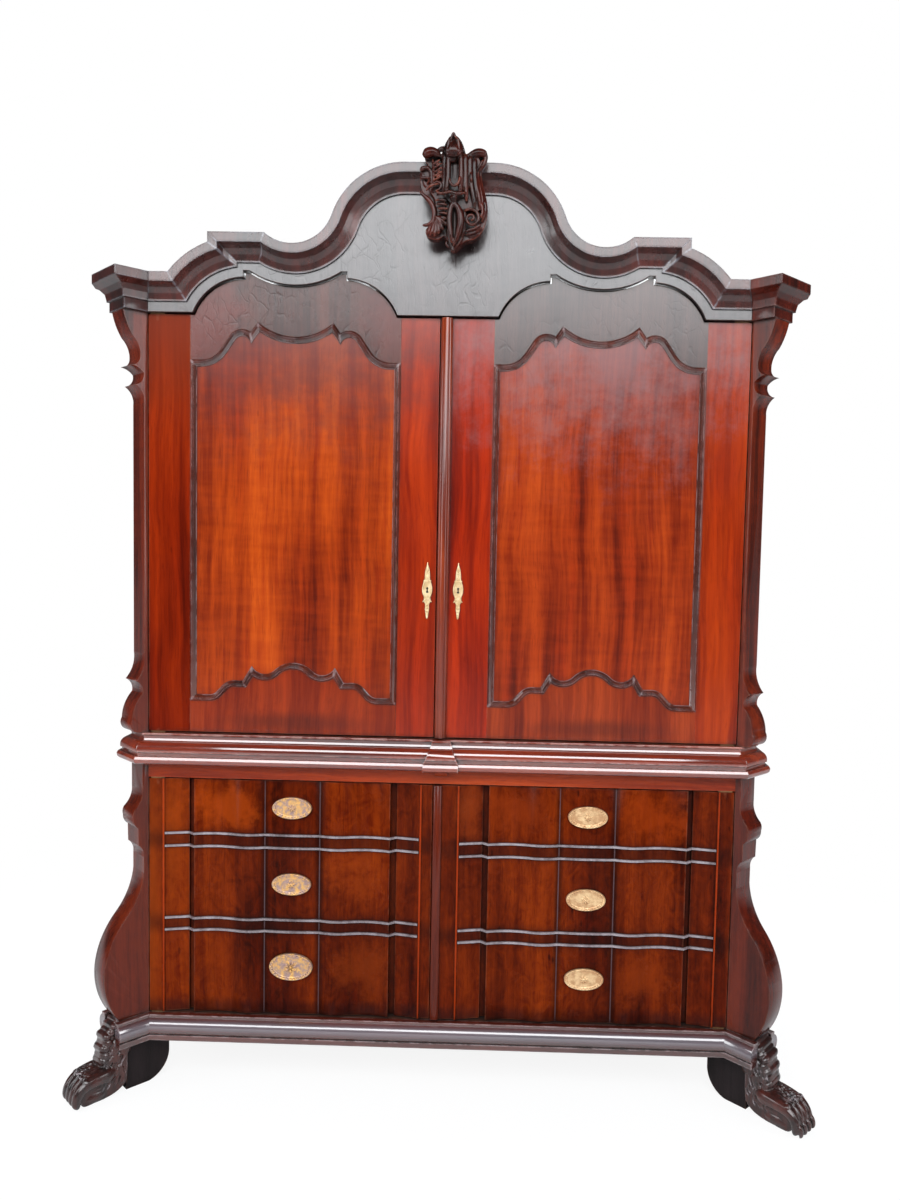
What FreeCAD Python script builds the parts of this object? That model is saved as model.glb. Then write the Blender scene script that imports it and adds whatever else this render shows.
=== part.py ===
import FreeCAD, Part
import math
import os
import re

from FreeCAD import Placement, Rotation, Vector

import Sketcher

# Two-stage cabinet with an arched, serpentine cornice.  Millimetres, +Z up, the front faces -Y.
# Heights are measured from the floor, X from the middle of the front and "depth" backwards from the
# plane of the door fronts, which door_plane_y sets so that the origin is the middle of the footprint.

doc = FreeCAD.newDocument("KasCupboard")

# ---------------------------------------------------------------- driving dimensions
DIMENSIONS = (
    ("door_plane_y", -174.3, "plane of the door fronts"),
    ("case_half_width", 762, "outer face of a case side"),
    ("corner_cant", 44, "the 45 degree cut of the front corners, along X and along Y"),
    ("case_depth", 500, "door fronts to the back of the case"),
    ("side_thickness", 24, "case side boards"),
    ("post_depth", 40, "front corner post, inside face"),
    ("board_thickness", 22, "bottom, top and rail boards"),
    ("shelf_thickness", 20, "shelves"),
    ("back_thickness", 12, "back panels"),
    ("foot_height", 128, "underside of the lower case"),
    ("base_top", 188, "top of the base moulding and of the lower bottom board"),
    ("rail_bottom", 782, "underside of the rail over the lower doors"),
    ("lower_case_top", 822, "joint between the two cases"),
    ("waist_top", 894, "top of the waist moulding and of the upper bottom board"),
    ("upper_case_top", 1980, "top of the upper side boards"),
    ("lower_shelf_height", 484, "underside of the lower shelf"),
    ("low_shelf_height", 1236, "underside of the first upper shelf"),
    ("high_shelf_height", 1590, "underside of the second upper shelf"),
    ("shelf_setback", 60, "front edge of the shelves"),
    ("shelf_housing", 8, "depth of the grooves that hold the shelves"),
    ("frieze_front", 12, "projection of the frieze board"),
    ("frieze_thickness", 28, "frieze board"),
    ("door_outer", 716, "hinge edge of a door"),
    ("left_meeting", 18, "free edge of the left doors, left of the middle"),
    ("right_meeting", 16, "free edge of the right doors, left of the middle"),
    ("door_axis_x", 363, "line of symmetry of a door's panel"),
    ("door_thickness", 28, "upper doors"),
    ("lower_door_thickness", 30, "lower doors"),
    ("door_play", 3, "gap over and under a door"),
    ("door_shoulder", 1901, "top of an upper door at its stiles"),
    ("panel_half_width", 252, "half width of an upper panel"),
    ("panel_setback", 3, "panel face behind the face of the stiles"),
    ("panel_thickness", 18, "upper panels"),
    ("arch_play", 3, "gap between a door's arched top and the frieze board"),
    ("pivot_x", 694, "hinge axis from the middle"),
    ("pivot_depth", 7, "hinge axis behind the door fronts"),
    ("pin_radius", 4, "hinge pins"),
    ("hole_radius", 4.05, "holes of the hinge plates"),
    ("bore_radius", 4.6, "bores in the doors over the pins"),
    ("pin_length", 13, "hinge pins"),
    ("bore_depth", 15, "bores in the doors"),
    ("plate_length", 34, "hinge plates along the door"),
    ("plate_width", 14, "hinge plates across the door"),
    ("case_plate", 1.4, "thickness of the hinge plates on the case"),
    ("door_plate", 1.3, "thickness of the hinge plates on the doors"),
    ("console_width", 62.2, "consoles and foot ankles"),
    ("toe_pitch", 18.5, "toes of a paw foot"),
    ("rear_foot", 76, "side of the square rear feet"),
    ("foot_block_thickness", 34, "brackets behind the paw feet"),
    ("keystone_x", 3, "middle of the break in the waist moulding"),
    ("bracket_width", 30, "bracket under the break"),
    ("cock_bead_height", 5, "horizontal beads of the lower doors"),
    ("cock_bead_proud", 5, "horizontal beads, in front of the door"),
    ("oval_plate_length", 100, "brass plates of the lower doors"),
    ("oval_plate_height", 55, "brass plates of the lower doors"),
    ("escutcheon_thickness", 3, "brass keyhole plates"),
    ("lock_width", 66, "lock on the inside of the right upper door"),
    ("lock_height", 120, "lock"),
    ("lock_thickness", 18, "lock"),
    ("keyway_radius", 3.5, "hole for the key in the lock"),
    ("crest_front", 104, "front of the crest"),
)

sheet = doc.addObject("Spreadsheet::Sheet", "Dimensions")
for row, (alias, value, meaning) in enumerate(DIMENSIONS, start=1):
    sheet.set(f"A{row}", alias)
    sheet.set(f"B{row}", str(value))
    sheet.set(f"C{row}", meaning)
    sheet.setAlias(f"B{row}", alias)
doc.recompute()

ALIASES = re.compile(r"\b(" + "|".join(alias for alias, _, _ in DIMENSIONS) + r")\b")
sub_parts = []


def size(alias):
    """Value of a driving dimension, read from the sheet."""
    return float(sheet.get(alias))


def bind(obj, **expressions):
    """Bind properties to expressions of the sheet; base_x, base_y, base_z place the object."""
    for name, text in expressions.items():
        target = f"Placement.Base.{name[-1]}" if name.startswith("base_") else name
        obj.setExpression(target, ALIASES.sub(r"Dimensions.\1", text))


def keep(obj, label):
    """Name a finished sub-part and list it for writing."""
    obj.Label = label
    sub_parts.append(obj)
    return obj


# ---------------------------------------------------------------- outlines and solids
def chain(start, *steps):
    """Edges from start through steps; a step is a point, or (point on the arc, end point)."""
    edges = []
    here = Vector(*start)
    for step in steps:
        is_arc = isinstance(step[0], tuple)
        there = Vector(*(step[1] if is_arc else step))
        if is_arc:
            middle = Vector(*step[0])
            turns_left = (middle - here).cross(there - middle).z > 0
            ends = (here, there) if turns_left else (there, here)
            edges.append(Part.Arc(ends[0], middle, ends[1]))
        else:
            edges.append(Part.LineSegment(here, there))
        here = there
    return edges


def mirrored(start, *steps):
    """Steps that repeat the given ones, backwards, on the other side of the line x = 0."""
    points = [start] + [step[1] if isinstance(step[0], tuple) else step for step in steps]
    back = []
    for index in range(len(steps) - 1, -1, -1):
        end = (-points[index][0], points[index][1])
        if isinstance(steps[index][0], tuple):
            middle = steps[index][0]
            back.append(((-middle[0], middle[1]), end))
        else:
            back.append(end)
    return back


def flip(*steps):
    """The same steps on the other side of the line x = 0."""
    return [tuple((-x, z) for x, z in step) if isinstance(step[0], tuple) else (-step[0], step[1])
            for step in steps]


def on_circle(centre, radius, degrees):
    """Point of a circle at an angle."""
    angle = math.radians(degrees)
    return centre[0] + radius * math.cos(angle), centre[1] + radius * math.sin(angle)


def wire(edges, placement):
    """Wire of flat edges, placed in space."""
    result = Part.Wire([edge.toShape() for edge in edges])
    result.Placement = placement
    return result


def new_body(name):
    """Empty body."""
    return doc.addObject("PartDesign::Body", name)


def add_sketch(body, plane, edges):
    """Sketch on one of the body's own planes."""
    sketch = body.newObject("Sketcher::SketchObject", body.Name + "Sketch")
    support = [item for item in body.Origin.OriginFeatures if item.Role == plane][0]
    sketch.AttachmentSupport = [(support, "")]
    sketch.MapMode = "FlatFace"
    for edge in edges:
        sketch.addGeometry(edge, False)
    join_ends(sketch)
    return sketch


def join_ends(sketch):
    """Coincident constraints wherever two open edges of a sketch meet."""
    ends = []
    for index, edge in enumerate(sketch.Geometry):
        if isinstance(edge, (Part.Circle, Part.Ellipse)):
            continue
        ends.append((index, 1, edge.StartPoint))
        ends.append((index, 2, edge.EndPoint))
    constraints = []
    for first in range(len(ends)):
        for second in range(first + 1, len(ends)):
            if ends[first][2].distanceToPoint(ends[second][2]) < 1e-6:
                constraints.append(Sketcher.Constraint("Coincident", *ends[first][:2], *ends[second][:2]))
    sketch.addConstraint(constraints)


def pad(body, sketch, length, symmetric=False, backwards=False):
    """Pad bound to an expression of the sheet."""
    feature = body.newObject("PartDesign::Pad", body.Name + "Pad")
    feature.Profile = sketch
    if symmetric:
        feature.SideType = "Symmetric"
    feature.Reversed = backwards
    bind(feature, Length=length)
    body.Tip = feature
    return feature


def pocket(body, sketch, length=None, backwards=False):
    """Pocket of a bound depth, or right through both ways; it has to remove material."""
    doc.recompute()
    before = body.Shape.Volume
    feature = body.newObject("PartDesign::Pocket", body.Name + "Pocket")
    feature.Profile = sketch
    feature.Reversed = backwards
    if length is None:
        feature.SideType = "Symmetric"
        feature.Type = "ThroughAll"
    else:
        bind(feature, Length=length)
    body.Tip = feature
    doc.recompute()
    if body.Shape.Volume > before - 1.0:
        raise RuntimeError(f"{body.Name}: a pocket cuts nothing")
    return feature


def box(label, length, width, height, x, depth, z):
    """Rectangular board; each size and place is an expression, depth counts from the door fronts."""
    board = doc.addObject("Part::Box", label)
    bind(board, Length=length, Width=width, Height=height)
    bind(board, base_x=x, base_y=f"door_plane_y + {depth}", base_z=z)
    return board


def rectangle(x_low, x_high, y_low, y_high):
    """Outline of a rectangle."""
    return chain((x_low, y_low), (x_high, y_low), (x_high, y_high), (x_low, y_high), (x_low, y_low))


def plain_shape(label, shape):
    """Sub-part whose shape was made with Part's own functions, in the plane of the door fronts."""
    feature = doc.addObject("Part::Feature", label)
    feature.Shape = shape
    bind(feature, base_y="door_plane_y")
    return keep(feature, label)


# Height that every upright cut reaches past.
TALL = 2600


def mitred_run(corners, section):
    """Straight mouldings along corners in plan, mitred where they turn.

    section is an outline of (projection, height); the moulding projects to the right-hand side of
    the direction of travel.
    """
    reach = max(max(edge.StartPoint.x, edge.EndPoint.x) for edge in section) + 20
    count = len(corners)
    directions = []
    for first, second in zip(corners, corners[1:]):
        step = Vector(second[0] - first[0], second[1] - first[1], 0)
        directions.append(step.normalize())
    outward = [Vector(step.y, -step.x, 0) for step in directions]

    def mitre(index):
        """Shift, for each millimetre of projection, of the corner with this index."""
        before = outward[max(index - 1, 0)]
        after = outward[min(index, count - 2)]
        total = before + after
        return total * (2.0 / total.dot(total))

    pieces = []
    for index, (first, second) in enumerate(zip(corners, corners[1:])):
        start = Vector(first[0], first[1], 0)
        end = Vector(second[0], second[1], 0)
        along = directions[index]
        margin = along * (2 * reach)
        frame = Placement(start - margin, Rotation(outward[index], Vector(0, 0, 1), along * -1, "ZXY"))
        face = Part.Face(Part.Wire([edge.toShape() for edge in section]))
        face.Placement = frame
        run = face.extrude(end - start + margin * 2)
        plan = [start, end, end + mitre(index + 1) * reach, start + mitre(index) * reach, start]
        limits = Part.Face(Part.makePolygon(plan)).extrude(Vector(0, 0, TALL))
        pieces.append(run.common(limits))
    if len(pieces) == 1:
        return pieces[0]
    return pieces[0].multiFuse(pieces[1:]).removeSplitter()


class FrontRun:
    """One straight or round stretch of a moulding that runs in an upright plane, seen from the front."""

    def __init__(self, start, middle, end):
        self.start, self.end = Vector(*start), Vector(*end)
        self.round = middle is not None
        if self.round:
            through = Vector(*middle)
            arc = Part.Arc(self.start, through, self.end).toShape()
            self.centre, self.radius = arc.Curve.Center, arc.Curve.Radius
            self.side = 1 if (through - self.start).cross(self.end - through).z > 0 else -1
            self.sweep = math.degrees(arc.LastParameter - arc.FirstParameter)

    def heading(self, point):
        """Direction of travel at one of the two ends."""
        if not self.round:
            return (self.end - self.start).normalize()
        arm = (point - self.centre).normalize()
        return Vector(-arm.y, arm.x, 0) * self.side

    def offset(self, distance):
        """Unbounded line or circle, shifted to the right-hand side of travel."""
        if self.round:
            return Part.Circle(self.centre, Vector(0, 0, 1), self.radius + self.side * distance)
        along = self.heading(self.start)
        right = Vector(along.y, -along.x, 0) * distance
        return Part.Line(self.start + right, self.end + right)

    def beyond(self, point, end, way):
        """How far along the run's own line a point lies past one of its ends; way is 1 ahead, -1 back."""
        if not self.round:
            return (point - end).dot(self.heading(end)) * way
        arm, other = end - self.centre, point - self.centre
        return math.atan2(arm.cross(other).z, arm.dot(other)) * self.side * way * self.radius

    def solid(self, section, before, after):
        """Section of (to the right, forward) swept along the run, lengthened at both ends."""
        along = self.heading(self.start)
        right = Vector(along.y, -along.x, 0)
        face = Part.Face(Part.Wire([edge.toShape() for edge in section]))
        frame = Placement(self.start, Rotation(right, Vector(0, 0, 1), along * -1, "XYZ"))
        if not self.round:
            face.Placement = frame.multiply(Placement(Vector(0, 0, before), Rotation()))
            return face.extrude(along * ((self.end - self.start).Length + before + after))
        axis = Vector(0, 0, self.side)
        lead = math.degrees(before / self.radius)
        face.Placement = frame
        face.rotate(self.centre, axis, -lead)
        return face.revolve(self.centre, axis, self.sweep + lead + math.degrees(after / self.radius))


def runs_of(start, *steps):
    """Runs along the same steps as chain takes."""
    runs = []
    here = start
    for step in steps:
        is_arc = isinstance(step[0], tuple)
        there = step[1] if is_arc else step
        runs.append(FrontRun(here, step[0] if is_arc else None, there))
        here = there
    return runs


MITRE_SPARE = 2
SLAB_REACH = 100


class Mitre:
    """Joint of two runs along the curve on which their offsets meet; tangent runs need no cut."""

    def __init__(self, first, second, width):
        corner = first.end
        into, out = first.heading(corner), second.heading(corner)
        self.tangent = into.getAngle(out) < math.radians(1)
        self.ahead = self.back = 0.0
        if self.tangent:
            return
        points = [corner]
        for share in (0.5, 1.0):
            meeting = first.offset(width * share).intersect(second.offset(width * share))
            places = [Vector(item.X, item.Y, 0) for item in meeting]
            points.append(min(places, key=lambda place: place.distanceToPoint(points[-1])))
        past_first = [first.beyond(point, corner, 1) for point in points]
        past_second = [second.beyond(point, corner, -1) for point in points]
        self.ahead = max(past_first) + MITRE_SPARE
        self.back = max(past_second) + MITRE_SPARE
        low = points[0] + (points[0] - points[1]).normalize()
        high = points[2] + (points[2] - points[1]).normalize() * (width / 4)
        bend = (points[1] - points[0]).cross(points[2] - points[1]).z
        curve = [Part.Arc(*points)] if abs(bend) > 1e-3 else [Part.LineSegment(points[0], points[2])]
        forwards = into * 2 * (self.ahead - min(past_first))
        backwards = out * -2 * (self.back - min(past_second))
        self.past_first = self.slab((low, high), points, curve, forwards)
        self.past_second = self.slab((low, high), points, curve, backwards)

    @staticmethod
    def slab(ends, points, curve, direction):
        """What lies past the mitre in one direction."""
        low, high = ends
        edges = [Part.LineSegment(low, points[0]), *curve, Part.LineSegment(points[2], high),
                 Part.LineSegment(high, high + direction),
                 Part.LineSegment(high + direction, low + direction),
                 Part.LineSegment(low + direction, low)]
        face = Part.Face(Part.Wire([edge.toShape() for edge in edges]))
        return face.extrude(Vector(0, 0, 2 * SLAB_REACH)).translated(Vector(0, 0, -SLAB_REACH))


def front_moulding(start, steps, section, closed=False):
    """Strips of one section in the plane of the front, swept along the steps and mitred at the corners."""
    runs = runs_of(start, *steps)
    width = max(max(edge.StartPoint.x, edge.EndPoint.x) for edge in section)
    followers = runs[1:] + (runs[:1] if closed else [])
    joints = [Mitre(first, second, width) for first, second in zip(runs, followers)]
    strips = []
    for index, run in enumerate(runs):
        ahead = joints[index] if index < len(joints) else None
        behind = joints[index - 1] if closed or index > 0 else None
        piece = run.solid(section, behind.back if behind else 0, ahead.ahead if ahead else 0)
        if ahead and not ahead.tangent:
            piece = piece.cut(ahead.past_first)
        if behind and not behind.tangent:
            piece = piece.cut(behind.past_second)
        if behind and behind.tangent:
            strips[-1].append(piece)
        else:
            strips.append([piece])
    solids = [strip[0].multiFuse(strip[1:]) if strip[1:] else strip[0] for strip in strips]
    whole = Part.makeCompound([solid for strip in solids for solid in strip.Solids])
    upright = Placement(Vector(0, 0, 0), Rotation(Vector(1, 0, 0), 90))
    whole.Placement = upright.multiply(whole.Placement)
    return whole


def mirror_x(shape):
    """Shape on the other side of the middle plane."""
    return shape.mirror(Vector(0, 0, 0), Vector(1, 0, 0))


SIDES = (("left", -1), ("right", 1))
POST_X = size("case_half_width") - size("corner_cant")
DEPTH = size("case_depth")
CONSOLE_MIDDLE_X = size("case_half_width") - size("corner_cant") / 2
MITRE_TANGENT = math.tan(math.radians(22.5))


def stand_at_corner(obj, sign):
    """Place a piece that is drawn in (distance from the corner, height) on the canted corner."""
    obj.Placement = Placement(Vector(0, 0, 0), Rotation(Vector(0, 0, 1), -90 + sign * 45))
    half_cant = "corner_cant / 2"
    bind(obj, base_x=f"{sign} * (case_half_width - {half_cant})", base_y=f"door_plane_y + {half_cant}")


# ---------------------------------------------------------------- case boards
def case_side(label, sign, bottom, height, groove_heights):
    """Side board with the canted front corner post; grooves house the shelves."""
    outer = size("case_half_width")
    inner = outer - size("side_thickness")
    cant, post = size("corner_cant"), size("post_depth")
    corners = [(POST_X, 0), (outer, cant), (outer, DEPTH), (inner, DEPTH), (inner, post + inner - POST_X),
               (POST_X, post), (POST_X, 0)]
    plan = [(sign * x, y) for x, y in corners]
    body = new_body(label)
    pad(body, add_sketch(body, "XY_Plane", chain(*plan)), height)
    setback, housing = size("shelf_setback"), size("shelf_housing")
    for groove in groove_heights:
        mouth = sorted((sign * (inner - 1), sign * (inner + housing)))
        outline = rectangle(mouth[0], mouth[1], setback, DEPTH - size("back_thickness"))
        sketch = add_sketch(body, "XY_Plane", outline)
        bind_offset(sketch, f"{groove} - ({bottom})")
        pocket(body, sketch, "shelf_thickness", backwards=True)
    bind(body, base_y="door_plane_y", base_z=bottom)
    keep(body, label)


def bind_offset(sketch, text):
    """Bind the height of a sketch over its plane."""
    sketch.setExpression("AttachmentOffset.Base.z", ALIASES.sub(r"Dimensions.\1", text))


def bottom_board(label, underside, top):
    """Bottom board with the rail glued under its front edge, as one angle profile."""
    rail, rise = size("board_thickness"), size(top) - size(underside)
    inner = size("case_half_width") - size("side_thickness")
    back = DEPTH - size("back_thickness")
    profile = chain((0, 0), (rail, 0), (rail, rise - rail), (back, rise - rail), (back, rise), (0, rise),
                    (0, 0))
    body = new_body(label)
    pad(body, add_sketch(body, "YZ_Plane", profile), "2 * (case_half_width - side_thickness)", symmetric=True)
    post = size("post_depth")
    notch_depth = post + inner - POST_X
    for sign in (-1, 1):
        past = sign * (inner + 1)
        corner = chain((sign * POST_X, -1), (past, -1), (past, notch_depth + 1), (sign * inner, notch_depth),
                       (sign * POST_X, post), (sign * POST_X, -1))
        pocket(body, add_sketch(body, "XY_Plane", corner))
    bind(body, base_y="door_plane_y", base_z=underside)
    keep(body, label)


def inner_board(label, thickness, depth, z, housing="0"):
    """Board between the sides, from a depth to the back panel."""
    half = f"(case_half_width - side_thickness + {housing})"
    length = f"case_depth - back_thickness - {depth}"
    keep(box(label, f"2 * {half}", length, thickness, f"-{half}", depth, z), label)


def back_panel(label, bottom, top):
    """Back panel between the sides."""
    half = "(case_half_width - side_thickness)"
    board = box(label, f"2 * {half}", "back_thickness", f"{top} - {bottom}", f"-{half}",
                "case_depth - back_thickness", bottom)
    keep(board, label)


def build_cases():
    """Boards of the two cases."""
    for side, sign in SIDES:
        case_side(f"lower_side_{side}", sign, "foot_height", "lower_case_top - foot_height",
                  ["lower_shelf_height"])
        case_side(f"upper_side_{side}", sign, "lower_case_top", "upper_case_top - lower_case_top",
                  ["low_shelf_height", "high_shelf_height"])
    bottom_board("lower_bottom_board", "foot_height", "base_top")
    bottom_board("upper_bottom_board", "lower_case_top", "waist_top")
    post_back = "(post_depth + corner_cant - side_thickness)"
    inner_board("lower_top_board", "board_thickness", post_back, "lower_case_top - board_thickness")
    inner_board("upper_top_board", "board_thickness", post_back, "upper_case_top - board_thickness")
    back_panel("lower_back_panel", "foot_height", "lower_case_top")
    back_panel("upper_back_panel", "lower_case_top", "upper_case_top")
    inner_board("lower_shelf", "shelf_thickness", "shelf_setback", "lower_shelf_height", "shelf_housing")
    inner_board("upper_shelf_low", "shelf_thickness", "shelf_setback", "low_shelf_height", "shelf_housing")
    inner_board("upper_shelf_high", "shelf_thickness", "shelf_setback", "high_shelf_height", "shelf_housing")


def build_frieze_rail(bracket):
    """Rail over the lower doors with the bracket that carries the break in the waist moulding."""
    half = "(case_half_width - corner_cant)"
    board = box("frieze_rail_board", f"2 * {half}", "board_thickness", "lower_case_top - rail_bottom",
                f"-{half}", "0", "rail_bottom")
    rail = doc.addObject("Part::Fuse", "frieze_rail")
    rail.Base = board
    rail.Tool = bracket
    keep(rail, "frieze_rail")


# ---------------------------------------------------------------- feet and consoles
def console(label, sign, base, outline):
    """Scrolled bracket on the canted corner; outline is (distance from the corner, height)."""
    body = new_body(label)
    drop = size(base)
    start = (outline[0][0], outline[0][1] - drop)
    steps = []
    for step in outline[1:]:
        if isinstance(step[0], tuple):
            steps.append(tuple((x, z - drop) for x, z in step))
        else:
            steps.append((step[0], step[1] - drop))
    pad(body, add_sketch(body, "XZ_Plane", chain(start, *steps)), "console_width", symmetric=True)
    stand_at_corner(body, sign)
    bind(body, base_z=base)
    keep(body, label)


LOWER_CONSOLE = (
    (0, 188), (75, 188), ((103, 246), (110, 320)), ((93, 383), (60, 436)), ((26, 489), (12, 543)), (12, 583),
    ((15, 602), (25, 614)), (26, 657), ((35, 667), (38, 682)), ((39, 693), (35, 703)), ((20, 723), (15, 752)),
    (15, 822), (0, 822), (0, 188),
)

UPPER_CONSOLE = (
    (0, 894), (24, 894), ((41, 905), (40, 926)), ((33, 959), (14, 989)),
    ((17, 1009), (30, 1021)), ((13, 1049), (9, 1087)), (9, 1690), ((14, 1716), (30, 1732)),
    ((14, 1742), (10, 1762)), ((25, 1773), (43, 1777)), ((25, 1783), (18, 1798)), ((22, 1824), (37, 1846)),
    ((51, 1873), (60, 1904)), (50, 1904), (50, 1980), (0, 1980), (0, 894),
)

# Ankle of a foot: three rolls, one under the other, from the console down to the instep.
ANKLE = (
    (0, 128), (0, 188), (80, 188), ((93, 183), (101, 169)), (98, 165), ((111, 159), (117, 143)), (114, 139),
    ((123, 130), (123, 112)), ((119, 94), (128, 80)), (150, 80), (150, 0), (52, 0), (52, 128), (0, 128),
)

# A toe is what its side view, its rounded plan and its chamfered front view have in common.
TOE_ROOT = 126
TOE_SIDE = (
    (130, 0), (130, 74), ((152, 88), (178, 78)), ((194, 54), (208, 28)), ((202, 5), (182, 0)), (130, 0),
)
TOES = 4
TOE_HALF_WIDTH = 8.9
TOE_TIP_START = 184
TOE_TIP = 208.5
TOE_ARCH_START = 60
TOE_TOP = 85


def paw_foot(side, sign):
    """Claw foot: a profiled ankle with four rounded toes side by side."""
    half = size("console_width") / 2
    upright = Placement(Vector(0, 0, 0), Rotation(Vector(1, 0, 0), 90))
    turned = Rotation(Vector(0, 1, 0), Vector(0, 0, 1), Vector(1, 0, 0), "XYZ")
    across = Placement(Vector(TOE_ROOT, 0, 0), turned)
    ankle = Part.Face(wire(chain(*ANKLE), upright)).extrude(Vector(0, 2 * half, 0))
    ankle.translate(Vector(0, -half, 0))
    wide = TOE_HALF_WIDTH
    side_view = Part.Face(wire(chain(*TOE_SIDE), upright)).extrude(Vector(0, 3 * wide, 0))
    plan = chain((TOE_ROOT, -wide), (TOE_TIP_START, -wide), ((TOE_TIP, 0), (TOE_TIP_START, wide)),
                 (TOE_ROOT, wide), (TOE_ROOT, -wide))
    front = chain((-wide, -1), (wide, -1), (wide, TOE_ARCH_START), (wide / 2, TOE_TOP), (-wide / 2, TOE_TOP),
                  (-wide, TOE_ARCH_START), (-wide, -1))
    from_above = Part.Face(wire(plan, Placement())).extrude(Vector(0, 0, TOE_TIP))
    from_front = Part.Face(wire(front, across)).extrude(Vector(TOE_TIP, 0, 0))
    toe = side_view.translated(Vector(0, -1.5 * wide, 0)).common(from_above).common(from_front)
    toes = []
    for index in range(TOES):
        toes.append(toe.translated(Vector(0, (index - (TOES - 1) / 2) * size("toe_pitch"), 0)))
    foot = doc.addObject("Part::Feature", f"paw_foot_{side}")
    foot.Shape = ankle.multiFuse(toes)
    stand_at_corner(foot, sign)
    keep(foot, f"paw_foot_{side}")


# Bracket behind a foot, with its rounded inner corner.
FOOT_BLOCK = ((-60, 128), (-60, 66), ((-44, 22), (-6, 0)), (52, 0), (52, 128), (-60, 128))


def build_feet_and_consoles():
    """Claw feet, their brackets, the consoles and the rear feet."""
    for side, sign in SIDES:
        console(f"lower_console_{side}", sign, "base_top", LOWER_CONSOLE)
        console(f"upper_console_{side}", sign, "waist_top", UPPER_CONSOLE)
        paw_foot(side, sign)
        bracket = new_body(f"foot_block_{side}")
        sketch = add_sketch(bracket, "XZ_Plane", chain(*FOOT_BLOCK))
        pad(bracket, sketch, "foot_block_thickness", symmetric=True)
        stand_at_corner(bracket, sign)
        keep(bracket, f"foot_block_{side}")
    feet = []
    for side, sign in SIDES:
        x = "case_half_width - rear_foot" if sign > 0 else "-case_half_width"
        depth = "case_depth - back_thickness - rear_foot"
        feet.append(box(f"rear_foot_{side}", "rear_foot", "rear_foot", "foot_height", x, depth, "0"))
    pair = doc.addObject("Part::Compound", "rear_feet")
    pair.Links = feet
    keep(pair, "rear_feet")


# ---------------------------------------------------------------- mouldings
# Sections are (projection, height over the floor).
BASE_SECTION = chain((0, 128), (26, 128), (26, 141), (22, 141), ((31, 161), (16, 181)), (16, 188), (0, 188),
                     (0, 128))
FOOT_REACH = 86
WAIST_OUTLINE = ((0, 822), (40, 822), (44, 826), (46, 834), (42, 841), (34, 841), (34, 850), (38, 850),
                 (38, 856), ((33, 869), (16, 875)), (13, 881), (14, 888), (18, 889), (17, 894), (0, 894),
                 (0, 822))
WAIST_SECTION = chain(*WAIST_OUTLINE)
KEYSTONE_BREAK = 13
KEYSTONE_WIDTH = 86
KEYSTONE_FACE = 44
BRACKET_SECTION = ((0, 802), (0, 820), (-17, 820), ((-20, 812), (-10, 806)), ((-6, 803), (0, 802)))
CORNICE_BASE = 1928
CORNICE_HEIGHT = 60
CORNICE_PROJECTION = 50
CORNICE_REACH = 50
CORNICE_CORNER_X = 847.5
BAND_BOTTOM = size("door_shoulder") + size("door_play")


def cornice_section(inner):
    """Cornice section over its underside: step, cavetto, fillet and fascia, back to the inner face."""
    return [(inner, 0), (17, 0), (17, 4), (20, 18), (29, 29), (44, 36), (CORNICE_PROJECTION, 38),
            (CORNICE_PROJECTION, CORNICE_HEIGHT), (inner, CORNICE_HEIGHT)]


def corner_path(reach):
    """Plan of a wrapped corner on the right: front, round a console of that reach, and the case side."""
    step = reach / math.sqrt(2)
    cant = size("corner_cant")
    outer = size("case_half_width")
    around = [(POST_X + step, -step), (outer + step, cant - step)] if reach else []
    return [(POST_X, 0), *around, (outer, cant), (outer, DEPTH)]


def build_base_and_waist():
    """Mouldings round the foot of the case and between the two cases."""
    around_foot = corner_path(FOOT_REACH)
    half_front = around_foot[:2]
    front = [(-x, y) for x, y in reversed(half_front)] + half_front
    plain_shape("base_moulding_front", mitred_run(front, BASE_SECTION))
    side = mitred_run(around_foot[2:], BASE_SECTION)
    plain_shape("base_moulding_sides", Part.makeCompound([side, mirror_x(side)]))
    half_wrap = corner_path(0)
    path = [(-x, y) for x, y in reversed(half_wrap)] + half_wrap
    plain_shape("waist_moulding", mitred_run(path, WAIST_SECTION))


def keystone():
    """Break in the middle of the waist moulding: the same section, further out, with splayed ends.

    A small scrolled bracket carries it on the frieze rail.
    """
    flipped = []
    for step in WAIST_OUTLINE:
        points = step if isinstance(step[0], tuple) else (step,)
        moved = [(-x - KEYSTONE_BREAK if x else 0, z) for x, z in points]
        flipped.append(tuple(moved) if len(moved) > 1 else moved[0])
    body = new_body("waist_keystone_block")
    pad(body, add_sketch(body, "YZ_Plane", chain(*flipped)), str(KEYSTONE_WIDTH), symmetric=True)
    floor, ceiling = size("lower_case_top") - 2, size("waist_top") + 2
    for sign in (-1, 1):
        low, high = sign * KEYSTONE_WIDTH / 2, sign * KEYSTONE_FACE / 2
        splay = chain((low, floor), (low + sign, floor), (low + sign, ceiling), (high, ceiling),
                      (high + 2 * sign, ceiling - 12), (low, floor + 18), (low, floor))
        pocket(body, add_sketch(body, "XZ_Plane", splay))
    bind(body, base_x="keystone_x", base_y="door_plane_y")
    bracket = new_body("waist_keystone_bracket")
    pad(bracket, add_sketch(bracket, "YZ_Plane", chain(*BRACKET_SECTION)), "bracket_width", symmetric=True)
    bind(bracket, base_x="keystone_x", base_y="door_plane_y")
    moulding = [item for item in sub_parts if item.Label == "waist_moulding"][0]
    cut = doc.addObject("Part::Cut", "waist_keystone")
    cut.Base = body
    cut.Tool = moulding
    keep(cut, "waist_keystone")
    return bracket


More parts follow.
